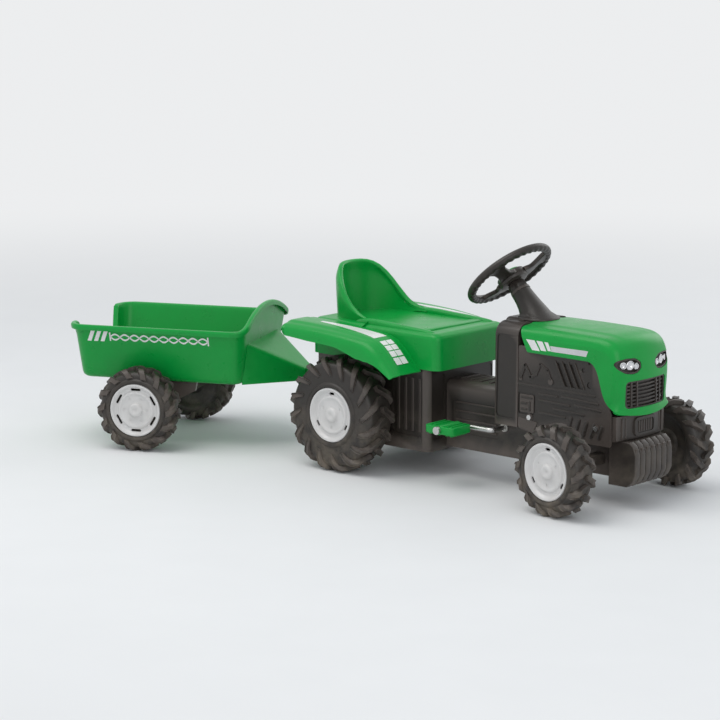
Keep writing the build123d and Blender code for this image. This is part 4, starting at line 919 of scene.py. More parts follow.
dash_drawing = softened(prism(arch(84, 134, 341, 27), "x", 340.2, 401.8),
                        edge_at("x", 340.2), 8, 4)
tunnel_way = prism(((-50.6, 100), (50.6, 100), (50.6, 206), (-50.6, 206)), "x", 300, 410)
knee_hollows = [prism(((348, 150), (394, 150), (396, 300), (380, 318), (350, 318)), "y",
                      side * 82.4, side * 90, 8, 3) for side in (1, -1)]
dash_drawing = combined(dash_drawing, joined(tunnel_way, *knee_hollows))
hood = softened(prism(arch(46, 250, 344.5, 16), "x", 334, 380), edge_at("x", 334), 5, 3)
dash_ribs = [softened(block((338.6, y - 2.2, 212), (342, y + 2.2, 244), 0.0),
                      edge_at("x", 338.6), 1.0, 2) for y in (-24, -12, 0, 12, 24)]
dash_piece = piece_from("dash_panel", joined(dash_drawing, hood, *dash_ribs), tractor,
                        satin_black, angle=35)
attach(dash_piece, "chassis")
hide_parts("dashboard")

# ---------------------------------------------------------------- tunnel
# The dark spine that joins the rear housing to the nose and covers the chain and crank,
# with raised cross ribs on top and a shallow panel along each side.
tunnel_drawing = softened(prism(arch(50, 60, 200, 16, 5), "x", 190.2, 612), edge_at("x", 612), 3)
panels = [prism(((206, 92), (330, 92), (330, 160), (206, 160)), "y", side * 48.6, side * 60,
                6, 3) for side in (1, -1)]
crank_ways = pin(9.2, -60, 60, 28, (342.8, 120))
tunnel_drawing = combined(tunnel_drawing, joined(crank_ways, *panels))
cross_ribs = [block((206 + 26 * step, -30, 198), (213 + 26 * step, 30, 202.6), 1.2, 2)
              for step in range(5)]
side_ribs = [block((214, side * 49.6 - 1.2, 100 + 18 * step), (322, side * 49.6 + 1.2,
                                                               104 + 18 * step), 0.9, 2)
             for side in (1, -1) for step in range(4)]
tunnel_piece = piece_from("tunnel_cover", joined(tunnel_drawing, *cross_ribs, *side_ribs),
                          tractor, satin_black, angle=35)
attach(tunnel_piece, "chassis")
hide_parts("centre_tunnel")

# ---------------------------------------------------------------- rear housing
# The big dark box under the seat that holds the rear axle, cut away behind, with a step
# and upright ribs pressed into each side.
housing_outline = ((-70, 54), (190, 54), (190, 296.8), (-115, 296.8), (-115, 116))
housing = prism(housing_outline, "y", -108, 108)
housing = softened(housing, lambda edge: abs((edge.verts[0].co - edge.verts[1].co).y) < 0.1
                   and abs(edge.verts[0].co.x - edge.verts[1].co.x) < 0.1
                   and edge.verts[0].co.x > 180, 15, 5)
sunk = [prism(((96, 84), (172, 84), (172, 214), (96, 214)), "y", side * 106.4, side * 120, 8, 3)
        for side in (1, -1)]
shaft_way = pin(10.2, -120, 120, 28, (0, 120))
front_sunk = [prism(((y - 19, 78), (y + 19, 78), (y + 19, 214), (y - 19, 214)), "x", 188.2, 200,
                    6, 3) for y in (-77, 77)]
housing = combined(housing, joined(shaft_way, *sunk, *front_sunk))
side_bars = [softened(block((106 + 19 * step, side * 106.8 - 1.2, 94),
                            (112 + 19 * step, side * 106.8 + 1.2, 204), 0.0),
                      edge_at("y", side * 108.0), 0.9, 2)
             for side in (1, -1) for step in range(4)]
collars = [spun([(10.3, side * 107), (24, side * 107), (24, side * 109.6), (22, side * 111),
                 (14, side * 111), (12.5, side * 113), (10.3, side * 113)], 40, closed=True)
           for side in (1, -1)]
for collar in collars:
    bmesh.ops.translate(collar, verts=collar.verts, vec=(0, 0, 120))
housing_piece = piece_from("housing_box", joined(housing, *side_bars, *collars), tractor,
                           satin_black, angle=35)
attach(housing_piece, "chassis")
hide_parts("rear_housing")

# ---------------------------------------------------------------- front fascia and weights
# Dark panel under the bonnet's lip with a raised rounded plate and fine upright ribs, and
# below it a block moulded as a row of seven ballast weights with lifting lugs.
nose_curve = [(652 - 11 * (step / 6) ** 2, step * 13) for step in range(7)]
fascia_outline = ([(612.2, -78)] + [(x, -y) for x, y in reversed(nose_curve)]
                  + nose_curve[1:] + [(612.2, 78)])
fascia = prism(fascia_outline, "z", 136, 185.8)
fascia = softened(fascia, lambda edge: edge_at("z", 136)(edge)
                  and min(point.co.x for point in edge.verts) > 612.5, 3)
plate = prism(((-34, 142), (34, 142), (34, 180), (-34, 180)), "x", 640, 654.2, 10, 4)
plate = softened(plate, edge_at("x", 654.2), 1.6, 2)
plate = combined(plate, prism(((-27, 148), (27, 148), (27, 174), (-27, 174)), "x", 652.4, 660,
                              7, 4))
fine_ribs = [softened(block((648, y - 1.8, 150), (654.0, y + 1.8, 172), 0.0),
                      edge_at("x", 654.0), 1.0, 2) for y in (-19, -11.5, -4, 4, 11.5, 19)]
outer_ribs = [softened(block((640, y - 2, 141), (650.5 - abs(y) * 0.05, y + 2, 181), 0.0),
                       edge_at("x", 650.5 - abs(y) * 0.05), 1.0, 2)
              for y in (-64, -54, -44, 44, 54, 64)]
fascia_piece = piece_from("fascia_panel", joined(fascia, plate, *fine_ribs, *outer_ribs),
                          tractor, satin_black, angle=35)
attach(fascia_piece, "chassis")
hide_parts("front_fascia")

weight_outline = ((612.2, 46), (654, 46), (668, 56), (676, 72), (676, 112), (670, 128),
                  (660, 135.8), (612.2, 135.8))
slices = []
for index in range(7):
    middle = (index - 3) * 17.6
    one = prism(weight_outline, "y", middle - 8.2, middle + 8.2)
    one = softened(one, lambda edge, middle=middle: (
        edge_at("y", middle - 8.2)(edge) or edge_at("y", middle + 8.2)(edge))
        and max(point.co.x for point in edge.verts) > 613, 2.4, 3)
    grip = softened(block((655, middle - 4.4, 112), (675.6, middle + 4.4, 124), 0.0),
                    edge_at("x", 675.6), 2.0, 2)
    slices += [one, grip]
weight_core = block((612.4, -60.6, 50), (664, 60.6, 131), 3, 2)
weights_piece = piece_from("ballast_weights", joined(weight_core, *slices), tractor,
                           satin_black, angle=35)
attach(weights_piece, "chassis")
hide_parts("front_weights")

# ---------------------------------------------------------------- steering column
# Dark hollow shroud round the steering shaft: narrow behind the wheel, then spreading into
# a broad foot that sits across the back of the bonnet.
wheel_centre = Vector((311, 0, 424))
shaft_line = Vector((0.66913, 0, -0.74314))
across_shaft = Vector((0.74314, 0, 0.66913))


def lofted(sections):
    """Closed skin through rings of points, its two ends filled."""
    count = len(sections[0])
    drawing = sheet(len(sections) - 1, count,
                    lambda column, row: Vector(sections[column][row % count]))
    bmesh.ops.remove_doubles(drawing, verts=drawing.verts, dist=0.0005)
    bmesh.ops.holes_fill(drawing, edges=drawing.edges, sides=0)
    bmesh.ops.recalc_face_normals(drawing, faces=drawing.faces)
    return drawing


def oval(centre, long_way, wide_way, long_radius, wide_radius, count=44, power=1.0):
    """Ring of points round a centre, squarer as the power falls below 1."""
    ring = []
    for index in range(count):
        turn = math.tau * index / count
        c, s = math.cos(turn), math.sin(turn)
        ring.append(Vector(centre) + long_way * (long_radius * math.copysign(abs(c) ** power, c))
                    + wide_way * (wide_radius * math.copysign(abs(s) ** power, s)))
    return ring


wide = Vector((0, 1, 0))
level = Vector((1, 0, 0))
column_rings = [oval(wheel_centre + shaft_line * 24, across_shaft, wide, 10, 10)]
for reach, long_radius, wide_radius, lean in (
        (24, 15.5, 16.5, 0.0), (26, 17, 18, 0.0), (44, 18.5, 20, 0.0), (62, 20, 22, 0.05),
        (78, 22.5, 24.5, 0.2), (90, 26, 27.5, 0.45), (99, 31, 31, 0.75)):
    long_way = (across_shaft * (1 - lean) + level * lean).normalized()
    column_rings.append(oval(wheel_centre + shaft_line * reach, long_way, wide, long_radius,
                             wide_radius, power=0.88))
foot_centre = wheel_centre + shaft_line * 108.4
for height, long_radius, wide_radius in ((347.5, 37, 35), (345.2, 41, 38), (343.0, 42.5, 39.5),
                                         (342.2, 42.5, 39.5)):
    column_rings.append(oval((foot_centre.x + 3, 0, height), level, wide, long_radius,
                             wide_radius, power=0.88))
column_drawing = lofted(column_rings)
# a raised spine along the driver's side and a seam band round the neck
spine = [oval(wheel_centre + shaft_line * reach - across_shaft * out, across_shaft, wide, 4.5, 9,
              20, 0.7) for reach, out in ((34, 14.5), (38, 16.5), (64, 18.6), (84, 22), (92, 23))]
neck_band = [oval(wheel_centre + shaft_line * reach, across_shaft, wide, 18.2 + grow, 19.2 + grow,
                  power=0.88) for reach, grow in ((40, -1.5), (40.6, 1.2), (46, 1.6), (46.6, -1))]
column_piece = piece_from("column_cover", joined(column_drawing, lofted(spine),
                                                 lofted(neck_band)), tractor, satin_black,
                          angle=36)
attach(column_piece, "chassis")
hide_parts("column_shroud")

# ---------------------------------------------------------------- steering wheel
# One dark moulding: a round rim with finger waves underneath, three broad spokes that widen
# into it, and a shallow hub cup for the green horn cap, which slides on the shaft.
drawn_steer = -7
wheel_frame = Matrix((
    (0, across_shaft.x, -shaft_line.x, wheel_centre.x),
    (-1, across_shaft.y, -shaft_line.y, wheel_centre.y),
    (0, across_shaft.z, -shaft_line.z, wheel_centre.z),
    (0, 0, 0, 1)))
wheel_place = tractor @ wheel_frame @ Matrix.Rotation(math.radians(drawn_steer), 4, "Z")
# pieces of the wheel are drawn about Y, as the road wheels are, then stood up
stand_up = Matrix.Rotation(math.pi / 2, 4, "X")
rim_radius, rim_thick = 88, 8.8

rim = spun([(rim_radius + rim_thick * math.cos(math.tau * step / 20),
             rim_thick * math.sin(math.tau * step / 20)) for step in range(20)], 144,
           closed=True)
finger_waves, wave_height = 36, 0.9
for point in rim.verts:
    under = smooth_share(-point.co.y, 2, 7)
    around = math.atan2(point.co.x, point.co.z)
    point.co.y += wave_height * under * (1 + math.cos(finger_waves * around))


def spoke(turn):
    """Broad spoke towards an angle, dished from the hub up to the rim."""
    drawing = sliced_cube(10)
    long_edges = [edge for edge in drawing.edges
                  if abs((edge.verts[0].co - edge.verts[1].co).x) > 0.05]
    bmesh.ops.bevel(drawing, geom=[edge for edge in long_edges
                                   if all(abs(point.co.y) > 0.4 and abs(point.co.z) > 0.4
                                          for point in edge.verts)],
                    offset=0.16, segments=3, profile=0.5, affect="EDGES", material=-1)
    for point in drawing.verts:
        share = point.co.x + 0.5
        half_width = 13.5 + 7 * (1 - smooth_share(share, 0, 0.35)) + 9 * smooth_share(
            share, 0.62, 1.0)
        middle = -10.5 + 9.5 * smooth_share(share, 0.15, 0.95)
        point.co = (26.5 + 56.5 * share, middle + point.co.z * 9.5, point.co.y * 2 * half_width)
    bmesh.ops.rotate(drawing, verts=drawing.verts,
                     matrix=Matrix.Rotation(math.radians(turn), 3, "Y"))
    bmesh.ops.recalc_face_normals(drawing, faces=drawing.faces)
    return drawing


hub_cup = spun([(10, -22), (26, -22), (29.5, -20.5), (31, -17), (31, -5.5), (30, -3.4),
                (28.4, -2.6), (26.4, -2.8), (25.2, -4), (24.9, -12.5), (10, -12.5)], 72,
               closed=True)
wheel_drawing = joined(rim, hub_cup, *(spoke(turn) for turn in (-90, 30, 150)))
wheel_drawing.transform(stand_up)
wheel_piece = piece_from("steering_wheel_moulding", wheel_drawing, wheel_place, satin_black,
                         angle=36)
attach(wheel_piece, "steering")
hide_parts("steering_wheel")

horn = spun([(0, -6.9), (23.6, -6.9), (24, -6.4), (24, -1), (23.2, 0.8), (21.4, 1.7), (17.5, 2.4),
             (16.8, 1.6), (15.6, 1.6), (14.8, 2.9), (9, 3.6), (0, 3.9)], 64)
horn.transform(stand_up)
horn_piece = piece_from("horn_button", horn, wheel_place, green, angle=30)
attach(horn_piece, "horn")
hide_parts("horn_cap")

# ---------------------------------------------------------------- seat and mudguards
# One green moulding, drawn here as its cover over the housing, the wrap-round backrest with
# a rolled rim, the raised seat sides, and a mudguard each side with a stepped top.
def rounded_ring(low, high, half, corner, height):
    """Level ring of points round a box with rounded corners."""
    steps = 7
    ring = []
    for x_mid, y_mid, start in ((high - corner, -half + corner, -90),
                                (high - corner, half - corner, 0),
                                (low + corner, half - corner, 90),
                                (low + corner, -half + corner, 180)):
        for step in range(steps + 1):
            turn = math.radians(start + 90 * step / steps)
            ring.append(Vector((x_mid + corner * math.cos(turn),
                                y_mid + corner * math.sin(turn), height)))
    return ring


# rings from the lower edge up, over the rounded shoulder, to the flat top
cover_rings = [rounded_ring(-131, 218 - lean, 112.2, 18, height)
               for height, lean in ((226, 0.0), (250, 0.4), (272, 1.0), (288, 1.8))]
for step in range(1, 7):
    turn = math.radians(15 * step)
    inwards = 12 * (1 - math.cos(turn))
    cover_rings.append(rounded_ring(-131 + inwards, 216.2 - 1.4 * inwards, 112.2 - inwards,
                                    18 - inwards * 0.6, 289 + 12 * math.sin(turn)))
cover_hollow = [rounded_ring(-127, 213.6, 108.2, 14, 200),
                rounded_ring(-127, 211.6, 108.2, 14, 288),
                rounded_ring(-121, 204, 102, 10, 296.6)]
cover = combined(lofted(cover_rings), lofted(cover_hollow))
# raised sides that run forwards out of the backrest: places along and across, top, half
# height and half width of each section
upwards = Vector((0, 0, 1))
side_sections = (
    (-26, 87.0, 301.0, 1.6, 2.5), (-20, 88.0, 304.5, 5, 4.5), (-8, 90.0, 308, 8.5, 7),
    (6, 92.0, 310.6, 11, 9), (22, 93.4, 311.8, 12.5, 9.8), (50, 93.5, 311.2, 12.5, 9.5),
    (80, 93.5, 309.5, 12, 9.5), (120, 93.5, 308, 11, 9.5), (150, 93.5, 306.6, 10, 9.1),
    (172, 93.5, 305.2, 8.5, 8.3), (184, 93.5, 303.8, 7, 7.3), (191, 93.5, 302.0, 4, 5.1),
    (193, 93.5, 301.0, 1.6, 2.1))
seat_sides = [
    lofted([oval((x, side * y, top - half_height), wide, upwards, half_width, half_height, 24, 0.7)
            for x, y, top, half_height, half_width in side_sections]) for side in (1, -1)]
pan_ridge = block((150, -82, 298), (172, 82, 304), 2.8, 3)

# plan of the backrest: a straight arm, a half circle behind, and the other arm
bend_x, arm_end, arm_steps, bend_steps = -40, 21, 8, 18
arm_step = (arm_end - bend_x) / arm_steps
plan_line = ([(arm_end - arm_step * step, -1) for step in range(arm_steps)]
             + [(None, -math.pi / 2 - math.pi * step / bend_steps)
                for step in range(bend_steps + 1)]
             + [(bend_x + arm_step * (step + 1), 1) for step in range(arm_steps)])
back_heights = ((-133, 412), (-122, 411.6), (-112, 409), (-100, 402), (-86, 389), (-70, 370),
                (-52, 348), (-36, 332), (-18, 320), (2, 313), (22, 309))


def height_at(table, value):
    """Value read smoothly from a table of (position, height)."""
    for (low, low_height), (high, high_height) in zip(table, table[1:]):
        if value <= high:
            return low_height + (high_height - low_height) * max(0.0, (value - low)
                                                                 / (high - low))
    return table[-1][1]


back_rows, back_foot = 12, 298


def back_point(column, row):
    """Outer face of the backrest."""
    x_mark, mark = plan_line[column]
    rise = row / back_rows
    radius = 88.0 + 4.0 * math.sin(rise * math.pi / 2) - 9.0 * smooth_share(rise, 0.72, 1.15)
    if x_mark is None:
        x, y = bend_x + radius * math.cos(mark), radius * math.sin(mark)
    else:
        x, y = x_mark, mark * (radius + 4.6 * smooth_share(x_mark, -34, arm_end))
    top = height_at(back_heights, x)
    return Vector((x, y, back_foot + (top - back_foot) * rise))


backrest = shell(sheet(len(plan_line) - 1, back_rows, back_point), 11.0, (-30, 0, 340))
backrest = softened(backrest, lambda edge: len(edge.link_faces) == 2
                    and edge.calc_face_angle(0) > 0.9
                    and min(point.co.z for point in edge.verts) > 301, 4.2, 4)

guard_line = (((-141, 283), (-141, 292), (-138, 300.5), (-126, 300.5)),
              ((-126, 300.5), (-60, 301), (20, 298), (84, 288.5)),
              ((84, 288.5), (112, 284), (126, 271), (143, 253)),
              ((143, 253), (154, 241), (164, 231), (172, 222)))
guard_points = curve_points(guard_line, (6, 30, 16, 8))
# section of a mudguard: place across, lift above its line, and share of the skirt's depth
guard_profile = ((111, 0.0, 0), (116, -0.4, 0), (121, 0.0, 0), (125, 1.6, 0), (128, 2.4, 0),
                 (140, 2.6, 0), (152, 2.6, 0), (164, 2.5, 0), (174, 2.2, 0), (178, 1.2, 0),
                 (181.5, -1.2, 0), (186, -2.4, 0), (191, -3.6, 0), (195.5, -6.2, 0),
                 (199, -10.2, 0), (201.2, -14.6, 0.08), (202.2, -18, 0.3), (202.6, -20, 0.65),
                 (202.8, -21, 1.0))
skirt_depths = ((-141, 8), (-126, 27), (-60, 31), (20, 31), (77, 42), (105, 40), (128, 31),
                (150, 17), (172, 8))


def guard_point(column, row, side):
    """Top face of a mudguard, its outer edge rolled over into the skirt."""
    place = guard_points[column]
    ahead = guard_points[min(column + 1, len(guard_points) - 1)]
    behind = guard_points[max(column - 1, 0)]
    run = (ahead - behind).normalized()
    up = Vector((-run.z, 0, run.x))
    across, lift, share = guard_profile[row]
    depth = height_at(skirt_depths, place.x)
    fade = min(1.0, depth / 21)
    place = place + up * (lift * fade)
    place.z -= share * max(0.0, depth - 21)
    return Vector((place.x, side * across, place.z))


guards = []
for side in (1, -1):
    guard = sheet(len(guard_points) - 1, len(guard_profile) - 1,
                  lambda column, row, side=side: guard_point(column, row, side))
    guards.append(shell(guard, 3.2, (20, side * 120, 180)))
seat_piece = piece_from("seat_moulding", joined(cover, pan_ridge, backrest, *seat_sides, *guards),
                        tractor, green, angle=34)
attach(seat_piece, "chassis")
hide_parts("seat_and_fenders")


# stickers: a tapering streak along each mudguard, and two rows of four blocks at its front
def guard_sticker(first, last, low, high, side, taper=0.0):
    """Film on a mudguard's flat top between two steps along and two places across."""
    def place(column, row):
        step = first + (last - first) * column / 12
        low_step = min(int(step), len(guard_points) - 2)
        spot = guard_points[low_step].lerp(guard_points[low_step + 1], step - low_step)
        run = (guard_points[min(low_step + 2, len(guard_points) - 1)]
               - guard_points[max(low_step - 1, 0)]).normalized()
        up = Vector((-run.z, 0, run.x))
        narrow = 1 - taper * (1 - column / 12)
        middle = (low + high) / 2
        across = middle + (low + (high - low) * row / 3 - middle) * narrow
        spot = spot + up * 3.05
        return Vector((spot.x, side * across, spot.z))
    return shell(sheet(12, 3, place), 0.6, (20, side * 120, 180))


streaks, checks = [], []
for side in (1, -1):
    streaks.append(guard_sticker(14.5, 38.4, 131, 170, side, 0.8))
    for index in range(2):
        for cell in range(4):
            checks.append(guard_sticker(41.6 + 3.6 * cell, 44.6 + 3.6 * cell,
                                        134 + 18 * index, 150 + 18 * index, side))
for name, drawings in (("guard_streaks", streaks), ("guard_checks", checks)):
    film = piece_from(name, joined(*drawings), tractor, sticker_white)
    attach(film, "chassis")

# ---------------------------------------------------------------- trailer tub
# Green tub in one moulding: flared walls with a turned-down rim, a low cut in the tail, an
# arched headboard, and a nose that narrows to the drawbar.
hitch = Vector(joints["trailer_swing"]["pos_m"])
trailer = (Matrix.Translation((hitch.x, hitch.y, 0)) @ millimetres
           @ upright(joints["trailer_left_roll"]["axis"]))
tub_floor, tub_rim, tub_wall = 142, 264, 3.0
tub_base_round = 12
wall_rows, base_rows = 16, 5
corner_steps, front_steps, flank_steps, tail_steps = 8, 28, 24, 56


def tub_half(share):
    """Half the tub's width at a share of its height from floor to rim."""
    return 126 + 31 * share


def tub_outline(share, out=0.0):
    """Ring round the tub at a share of its height from floor to rim."""
    rear, front = -520 - 9 * share, -152 + 15 * share
    half, corner = tub_half(share), 24 + 10 * share
    ring = []
    for x_end, facing, side, start, steps in (
            (front, 1, -1, -90, front_steps), (front, 1, 1, 0, flank_steps),
            (rear, -1, 1, 90, tail_steps), (rear, -1, -1, 180, flank_steps)):
        for step in range(corner_steps + 1):
            turn = math.radians(start + 90 * step / corner_steps)
            ring.append(Vector((x_end - facing * corner + (corner + out) * math.cos(turn),
                                side * (half - corner) + (corner + out) * math.sin(turn))))
        turn = math.radians(start + 90)
        if steps in (front_steps, tail_steps):
            far = Vector((ring[-1].x, -ring[-1].y))
        else:
            far = Vector(((rear + corner) if facing > 0 else (front - corner), ring[-1].y))
        near = ring[-1].copy()
        ring += [near.lerp(far, step / steps) for step in range(1, steps)]
    return ring


def tub_top(place):
    """Height of the rim above a place on the outline."""
    if place.x > -170:
        return tub_rim + 44 * max(0.0, 1 - (place.y / 147) ** 2)
    if place.x < -512:
        return tub_rim - 56 * (1 - smooth_share(abs(place.y), 101, 116))
    return tub_rim


rim_ring = tub_outline(1.0)
ring_tops = [tub_top(place) for place in rim_ring]
rim_lip = ((0, -5.4), (0.4, -4.0), (1.8, -3.2), (3.6, -3.0), (5.0, -3.3), (5.8, -4.4),
           (6.0, -5.8), (6.0, -11.5))
ring_cache = {}


def tub_ring_point(column, share, out):
    """Place on the outline at a share of the height, moved outwards."""
    key = (round(share, 4), round(out, 3))
    if key not in ring_cache:
        ring_cache[key] = tub_outline(*key)
    return ring_cache[key][column % len(rim_ring)]


def tub_point(column, row):
    """Outer face of the tub, from the edge of its floor to the end of its turned-down rim."""
    top = ring_tops[column % len(rim_ring)]
    if row < base_rows:
        turn = row / base_rows * math.pi / 2
        height = tub_floor + tub_base_round * (1 - math.cos(turn))
        out = -tub_base_round * (1 - math.sin(turn))
    elif row <= base_rows + wall_rows:
        share = (row - base_rows) / wall_rows
        height = (tub_floor + tub_base_round
                  + share * (top + rim_lip[0][1] - tub_floor - tub_base_round))
        out = 0.0
    else:
        out, lower = rim_lip[row - base_rows - wall_rows]
        height = top + lower
    height_share = min(1.0, (min(height, top) - tub_floor) / (tub_rim - tub_floor))
    spot = tub_ring_point(column, height_share, out)
    return Vector((spot.x, spot.y, height))


tub_rows = base_rows + wall_rows + len(rim_lip) - 1
tub_skin = sheet(len(rim_ring), tub_rows, tub_point)
bmesh.ops.remove_doubles(tub_skin, verts=tub_skin.verts, dist=0.0005)
floor_edge = [edge for edge in tub_skin.edges if edge.is_boundary
              and max(point.co.z for point in edge.verts) < tub_floor + 0.5]
bmesh.ops.contextual_create(tub_skin, geom=floor_edge)
tub_body = shell(tub_skin, tub_wall, (-330, 0, 400))
floor_ribs = [block((-486, y - 5, 143), (-182, y + 5, 147.6), 1.8, 3)
              for y in (-80, -48, -16, 16, 48, 80)]
nose_rows, nose_columns = 28, 14
nose_roof_end = 169


def nose_point(column, row):
    """Outer face of the hollow nose, open below, closed at its narrow end."""
    share = min(1.0, column / (nose_columns - 2))
    half = 112 + (25 - 112) * share
    top = 236 + (nose_roof_end - 236) * share
    x = -152 + 112 * share
    round_off = 10.0
    if column == nose_columns - 1:
        half, top, x, round_off = half - 2.5, top - 2.5, -39.999, 8.0
    if column == nose_columns:
        return Vector((-39.99, 0, tub_floor + 6))
    side = -1 if row < nose_rows / 2 else 1
    step = min(row, nose_rows - row)
    if step <= 4:
        y, z = half, tub_floor + (top - round_off - tub_floor) * step / 4
    elif step <= 9:
        turn = (step - 4) / 5 * math.pi / 2
        y = half - round_off * (1 - math.cos(turn))
        z = top - round_off * (1 - math.sin(turn))
    else:
        y, z = (half - round_off) * (nose_rows / 2 - step) / (nose_rows / 2 - 9), top
    return Vector((x, side * y, z))


nose_body = shell(sheet(nose_columns, nose_rows, nose_point), tub_wall, (-120, 0, 150))
tub_piece = piece_from("trailer_tub_moulding", joined(tub_body, nose_body, *floor_ribs), trailer,
                       green, angle=34)
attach(tub_piece, "trailer")
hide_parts("trailer_tub")


def tub_film(start, end, low, high, side, columns=2, bend=None, slant=0.0):
    """Film on a side wall between two places along and two heights."""
    def place(column, row):
        along = start + (end - start) * column / columns
        height = low + (high - low) * row / 2 + (bend(along) if bend else 0.0)
        share = (height - tub_floor) / (tub_rim - tub_floor)
        return Vector((along + slant * (height - low), side * (tub_half(share) + 0.4), height))
    return shell(sheet(columns, 2, place), 0.7, (-330, 0, 230))


# stickers: three slanting bars, then two strands that wind round each other, with end marks
strand_start, strand_end, wave_length, wave_out = -438, -215, 44.6, 6.2
films = []
for side in (1, -1):
    films += [tub_film(start, start + 9, 227, 250, side, slant=0.45)
              for start in (-492, -477, -462)]
    for phase in (0, math.pi):
        films.append(tub_film(
            strand_start, strand_end, 236.2, 239.8, side, 96, lambda along, phase=phase:
            wave_out * math.sin(math.tau * (along - strand_start) / wave_length + phase)))
    films.append(tub_film(-440, -437, 229, 248, side))
    films.append(tub_film(-216, -213, 229, 248, side))
tub_stickers = piece_from("tub_stickers", joined(*films), trailer, sticker_white)
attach(tub_stickers, "trailer")

# ---------------------------------------------------------------- pedals
# Green blocks that spin on the ends of the crank, with raised treads on both faces and a
# boss through the middle for the pin.
pedal_half_length, pedal_thin = 37, 8.0
pedal_inner, pedal_outer = 101, 163


def pedal(side):
    """Block about its own spindle, on one side of the tractor."""
    inner, outer = sorted((side * pedal_inner, side * pedal_outer))
    body = softened(block((-pedal_half_length, inner, -pedal_thin),
                          (pedal_half_length, outer, pedal_thin), 0.0),
                    lambda edge: abs((edge.verts[0].co - edge.verts[1].co).z) > 1, 9, 5)
    body = softened(body, lambda edge: abs((edge.verts[0].co - edge.verts[1].co).z) < 0.01
                    and edge.calc_face_angle(0) > 1.0, 1.8, 3)
    treads = [block((x - 3, inner + 7, face * 9 - 2.5), (x + 3, outer - 7, face * 9 + 1), 0.9, 2)
              for x in (-27, -16, 16, 27) for face in (-1, 1)]
    boss = pin(9.8, inner + 0.4, outer - 0.4, 32)
    return joined(body, boss, *treads)


for side, name in ((1, "left"), (-1, "right")):
    spindle = Vector(joints[name + "_pedal_spin"]["pos_m"])
    place = Matrix.Translation((spindle.x, axle_ground.y, spindle.z)) @ millimetres
    pedal_piece = piece_from("pedal_block_" + name, pedal(side), place, green, angle=34)
    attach(pedal_piece, "pedal_" + name)
    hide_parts("pedal_" + name)

# ---------------------------------------------------------------- chain and sprockets
# Half-inch roller chain on two toothed steel sprockets inside the housing and the tunnel.
# The sprockets are keyed to the crank and to the rear axle.
def metal(name, deep, light, roughness, grime=0.35):
    """Plated steel: mottled, duller in patches, darker where grime has gathered."""
    paint = bpy.data.materials.new(name)
    paint.use_nodes = True
    tree = paint.node_tree
    shader = tree.nodes["Principled BSDF"]
    skin = node(tree, "ShaderNodeGroup", {"Grain Scale": 1400.0, "Wave Scale": 60.0},
                node_tree=mould_skin)
    settled = node(tree, "ShaderNodeGroup", {"Reach": 0.30, "Patch Scale": 45.0},
                   node_tree=low_dust)
    tone = node(tree, "ShaderNodeMix", {
        "Factor": skin.outputs["Mottle"], "A": (*deep, 1), "B": (*light, 1)}, data_type="RGBA")
    share = node(tree, "ShaderNodeMath", {0: settled.outputs["Dust"], 1: grime},
                 operation="MULTIPLY")
    grimy = node(tree, "ShaderNodeMix", {
        "Factor": share.outputs["Value"], "A": tone.outputs["Result"],
        "B": (0.11, 0.09, 0.07, 1)}, data_type="RGBA")
    tree.links.new(grimy.outputs["Result"], shader.inputs["Base Color"])
    matt = node(tree, "ShaderNodeMapRange", {
        "Value": skin.outputs["Mottle"], "From Min": 0.3, "From Max": 0.7,
        "To Min": roughness - 0.05, "To Max": roughness + 0.10})
    tree.links.new(matt.outputs["Result"], shader.inputs["Roughness"])
    bumps = node(tree, "ShaderNodeBump", {
        "Height": skin.outputs["Grain"], "Strength": 0.08, "Distance": 0.0003})
    tree.links.new(bumps.outputs["Normal"], shader.inputs["Normal"])
    shader.inputs["Metallic"].default_value = 1.0
    return paint


zinc_steel = metal("zinc_steel", (0.50, 0.50, 0.49), (0.66, 0.66, 0.66), 0.30)
chain_steel = metal("chain_steel", (0.20, 0.185, 0.17), (0.34, 0.32, 0.30), 0.40, 0.6)
crank_line, axle_line = Vector(joints["crank_turn"]["pos_m"]), rear_axle
drive_length = (crank_line.x - axle_line.x) / millimetre
crank_teeth, axle_teeth, chain_links, chain_pitch = 20, 16, 72, 12.7
crank_pitch = chain_pitch / 2 / math.sin(math.pi / crank_teeth)
axle_pitch = chain_pitch / 2 / math.sin(math.pi / axle_teeth)
rise_angle = math.asin((crank_pitch - axle_pitch) / drive_length)
straight_run = math.sqrt(drive_length ** 2 - (crank_pitch - axle_pitch) ** 2)
front_wrap = crank_pitch * (math.pi + 2 * rise_angle)
rear_wrap = axle_pitch * (math.pi - 2 * rise_angle)
chain_length = 2 * straight_run + front_wrap + rear_wrap


def chain_place(distance):
    """Place on the chain's line, from its frontmost point, over the top, and round."""
    distance %= chain_length
    marks = (front_wrap / 2, straight_run, rear_wrap, straight_run, front_wrap / 2)
    up = Vector((-math.sin(rise_angle), 0, math.cos(rise_angle)))
    down = Vector((up.x, 0, -up.z))
    front_middle = Vector((drive_length, 0, 0))
    if distance < marks[0]:
        turn = distance / crank_pitch
        return front_middle + Vector((math.cos(turn), 0, math.sin(turn))) * crank_pitch
    distance -= marks[0]
    if distance < marks[1]:
        return (front_middle + up * crank_pitch).lerp(up * axle_pitch, distance / straight_run)
    distance -= marks[1]
    if distance < marks[2]:
        turn = math.atan2(up.z, up.x) + distance / axle_pitch
        return Vector((math.cos(turn), 0, math.sin(turn))) * axle_pitch
    distance -= marks[2]
    if distance < marks[3]:
        return (down * axle_pitch).lerp(front_middle + down * crank_pitch,
                                        distance / straight_run)
    turn = (distance - marks[3] - marks[4]) / crank_pitch
    return front_middle + Vector((math.cos(turn), 0, math.sin(turn))) * crank_pitch


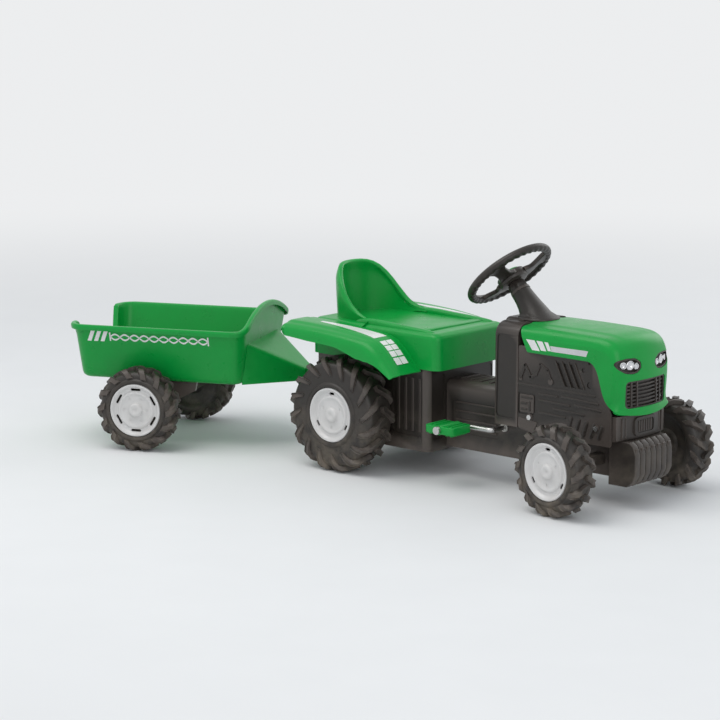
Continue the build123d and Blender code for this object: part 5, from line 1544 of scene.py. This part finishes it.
chain = bmesh.new()
for link in range(chain_links):
    start = chain_place(link * chain_length / chain_links)
    end = chain_place((link + 1) * chain_length / chain_links)
    run = (end - start).normalized()
    rise = Vector((-run.z, 0, run.x))
    # inner and outer links in turn, each with two waisted plates and a roller
    gap = 3.0 if link % 2 else 4.2
    outline = [start - run * 3.6 + rise * 1.6, start - run * 3.6 - rise * 1.6,
               start - run * 1.4 - rise * 3.9, end + run * 1.4 - rise * 3.9,
               end + run * 3.6 - rise * 1.6, end + run * 3.6 + rise * 1.6,
               end + run * 1.4 + rise * 3.9, start - run * 1.4 + rise * 3.9]
    plates = [prism([(point.x, point.z) for point in outline], "y", low, low + 1.0)
              for low in (-gap - 0.2, gap - 0.8)]
    roller = pin(3.8, -2.6, 2.6, 8, (start.x, start.z))
    chain = joined(chain, *plates, roller)
drive_place = Matrix.Translation((axle_line.x, axle_ground.y, axle_line.z)) @ millimetres
chain_piece = piece_from("roller_chain", chain, drive_place, chain_steel)
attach(chain_piece, "chassis")
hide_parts("drive_chain")


def sprocket(teeth, pitch_radius, middle, phase, bore):
    """Toothed plate about Y with a valley at the phase, lightening holes and a collar."""
    outline = []
    tooth_steps = (-3.6, -2.6, 1.0, 3.4, 1.0, -2.6)
    for step in range(teeth * len(tooth_steps)):
        radius = pitch_radius + tooth_steps[step % len(tooth_steps)]
        turn = phase + math.tau * step / len(tooth_steps) / teeth
        outline.append((middle + radius * math.cos(turn), radius * math.sin(turn)))
    plate = prism(outline, "y", -1.6, 1.6)
    holes = [pin(pitch_radius * 0.2, -4, 4, 20, (
        middle + pitch_radius * 0.56 * math.cos(math.tau * turn / 5),
        pitch_radius * 0.56 * math.sin(math.tau * turn / 5))) for turn in range(5)]
    collar = pin(bore + 4.5, -5.5, 5.5, 32, (middle, 0))
    return joined(combined(plate, joined(*holes)), collar)


for name, teeth, pitch_radius, middle, phase, bore, body_name in (
        ("crank", crank_teeth, crank_pitch, drive_length, 0, 5, "crank"),
        ("axle", axle_teeth, axle_pitch, 0, math.pi, 6, "rear_wheels")):
    sprocket_piece = piece_from(name + "_toothed_sprocket",
                                sprocket(teeth, pitch_radius, middle, phase, bore), drive_place,
                                zinc_steel)
    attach(sprocket_piece, body_name)
    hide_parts(name + "_sprocket")

# ---------------------------------------------------------------- rods, screws and small parts
# Zinc-plated steel rods, nuts, pins and screws, pale nylon bushes, and the dark or green
# mouldings that hold them. These keep the shapes they are made to.
# the fourth colour is a painted highlight on sharp edges
nylon = plastic("nylon", (0.42, 0.41, 0.38), (0.52, 0.51, 0.48), 0.42, (0.6, 0.6, 0.58),
                edge_highlight_amount=0.2, dust_amount=0.3, reach=0.3)
for paint, names in (
        (zinc_steel, ("body_screws", "steering_shaft", "tie_rod", "kingpins", "stub_axle_left",
                      "stub_axle_right", "rear_axle", "rear_axle_nuts", "crank_rod",
                      "pedal_nuts", "hitch_pin", "trailer_axle", "trailer_axle_nuts")),
        (nylon, ("steering_bushes", "axle_bushes", "crank_bushes")),
        (satin_black, ("front_axle_beam", "hitch_bracket", "knuckle_left", "knuckle_right",
                       "axle_brackets")),
        (green, ("drawbar",))):
    for name in names:
        part_mesh = frame["nodes"][name].data
        part_mesh.materials.clear()
        part_mesh.materials.append(paint)
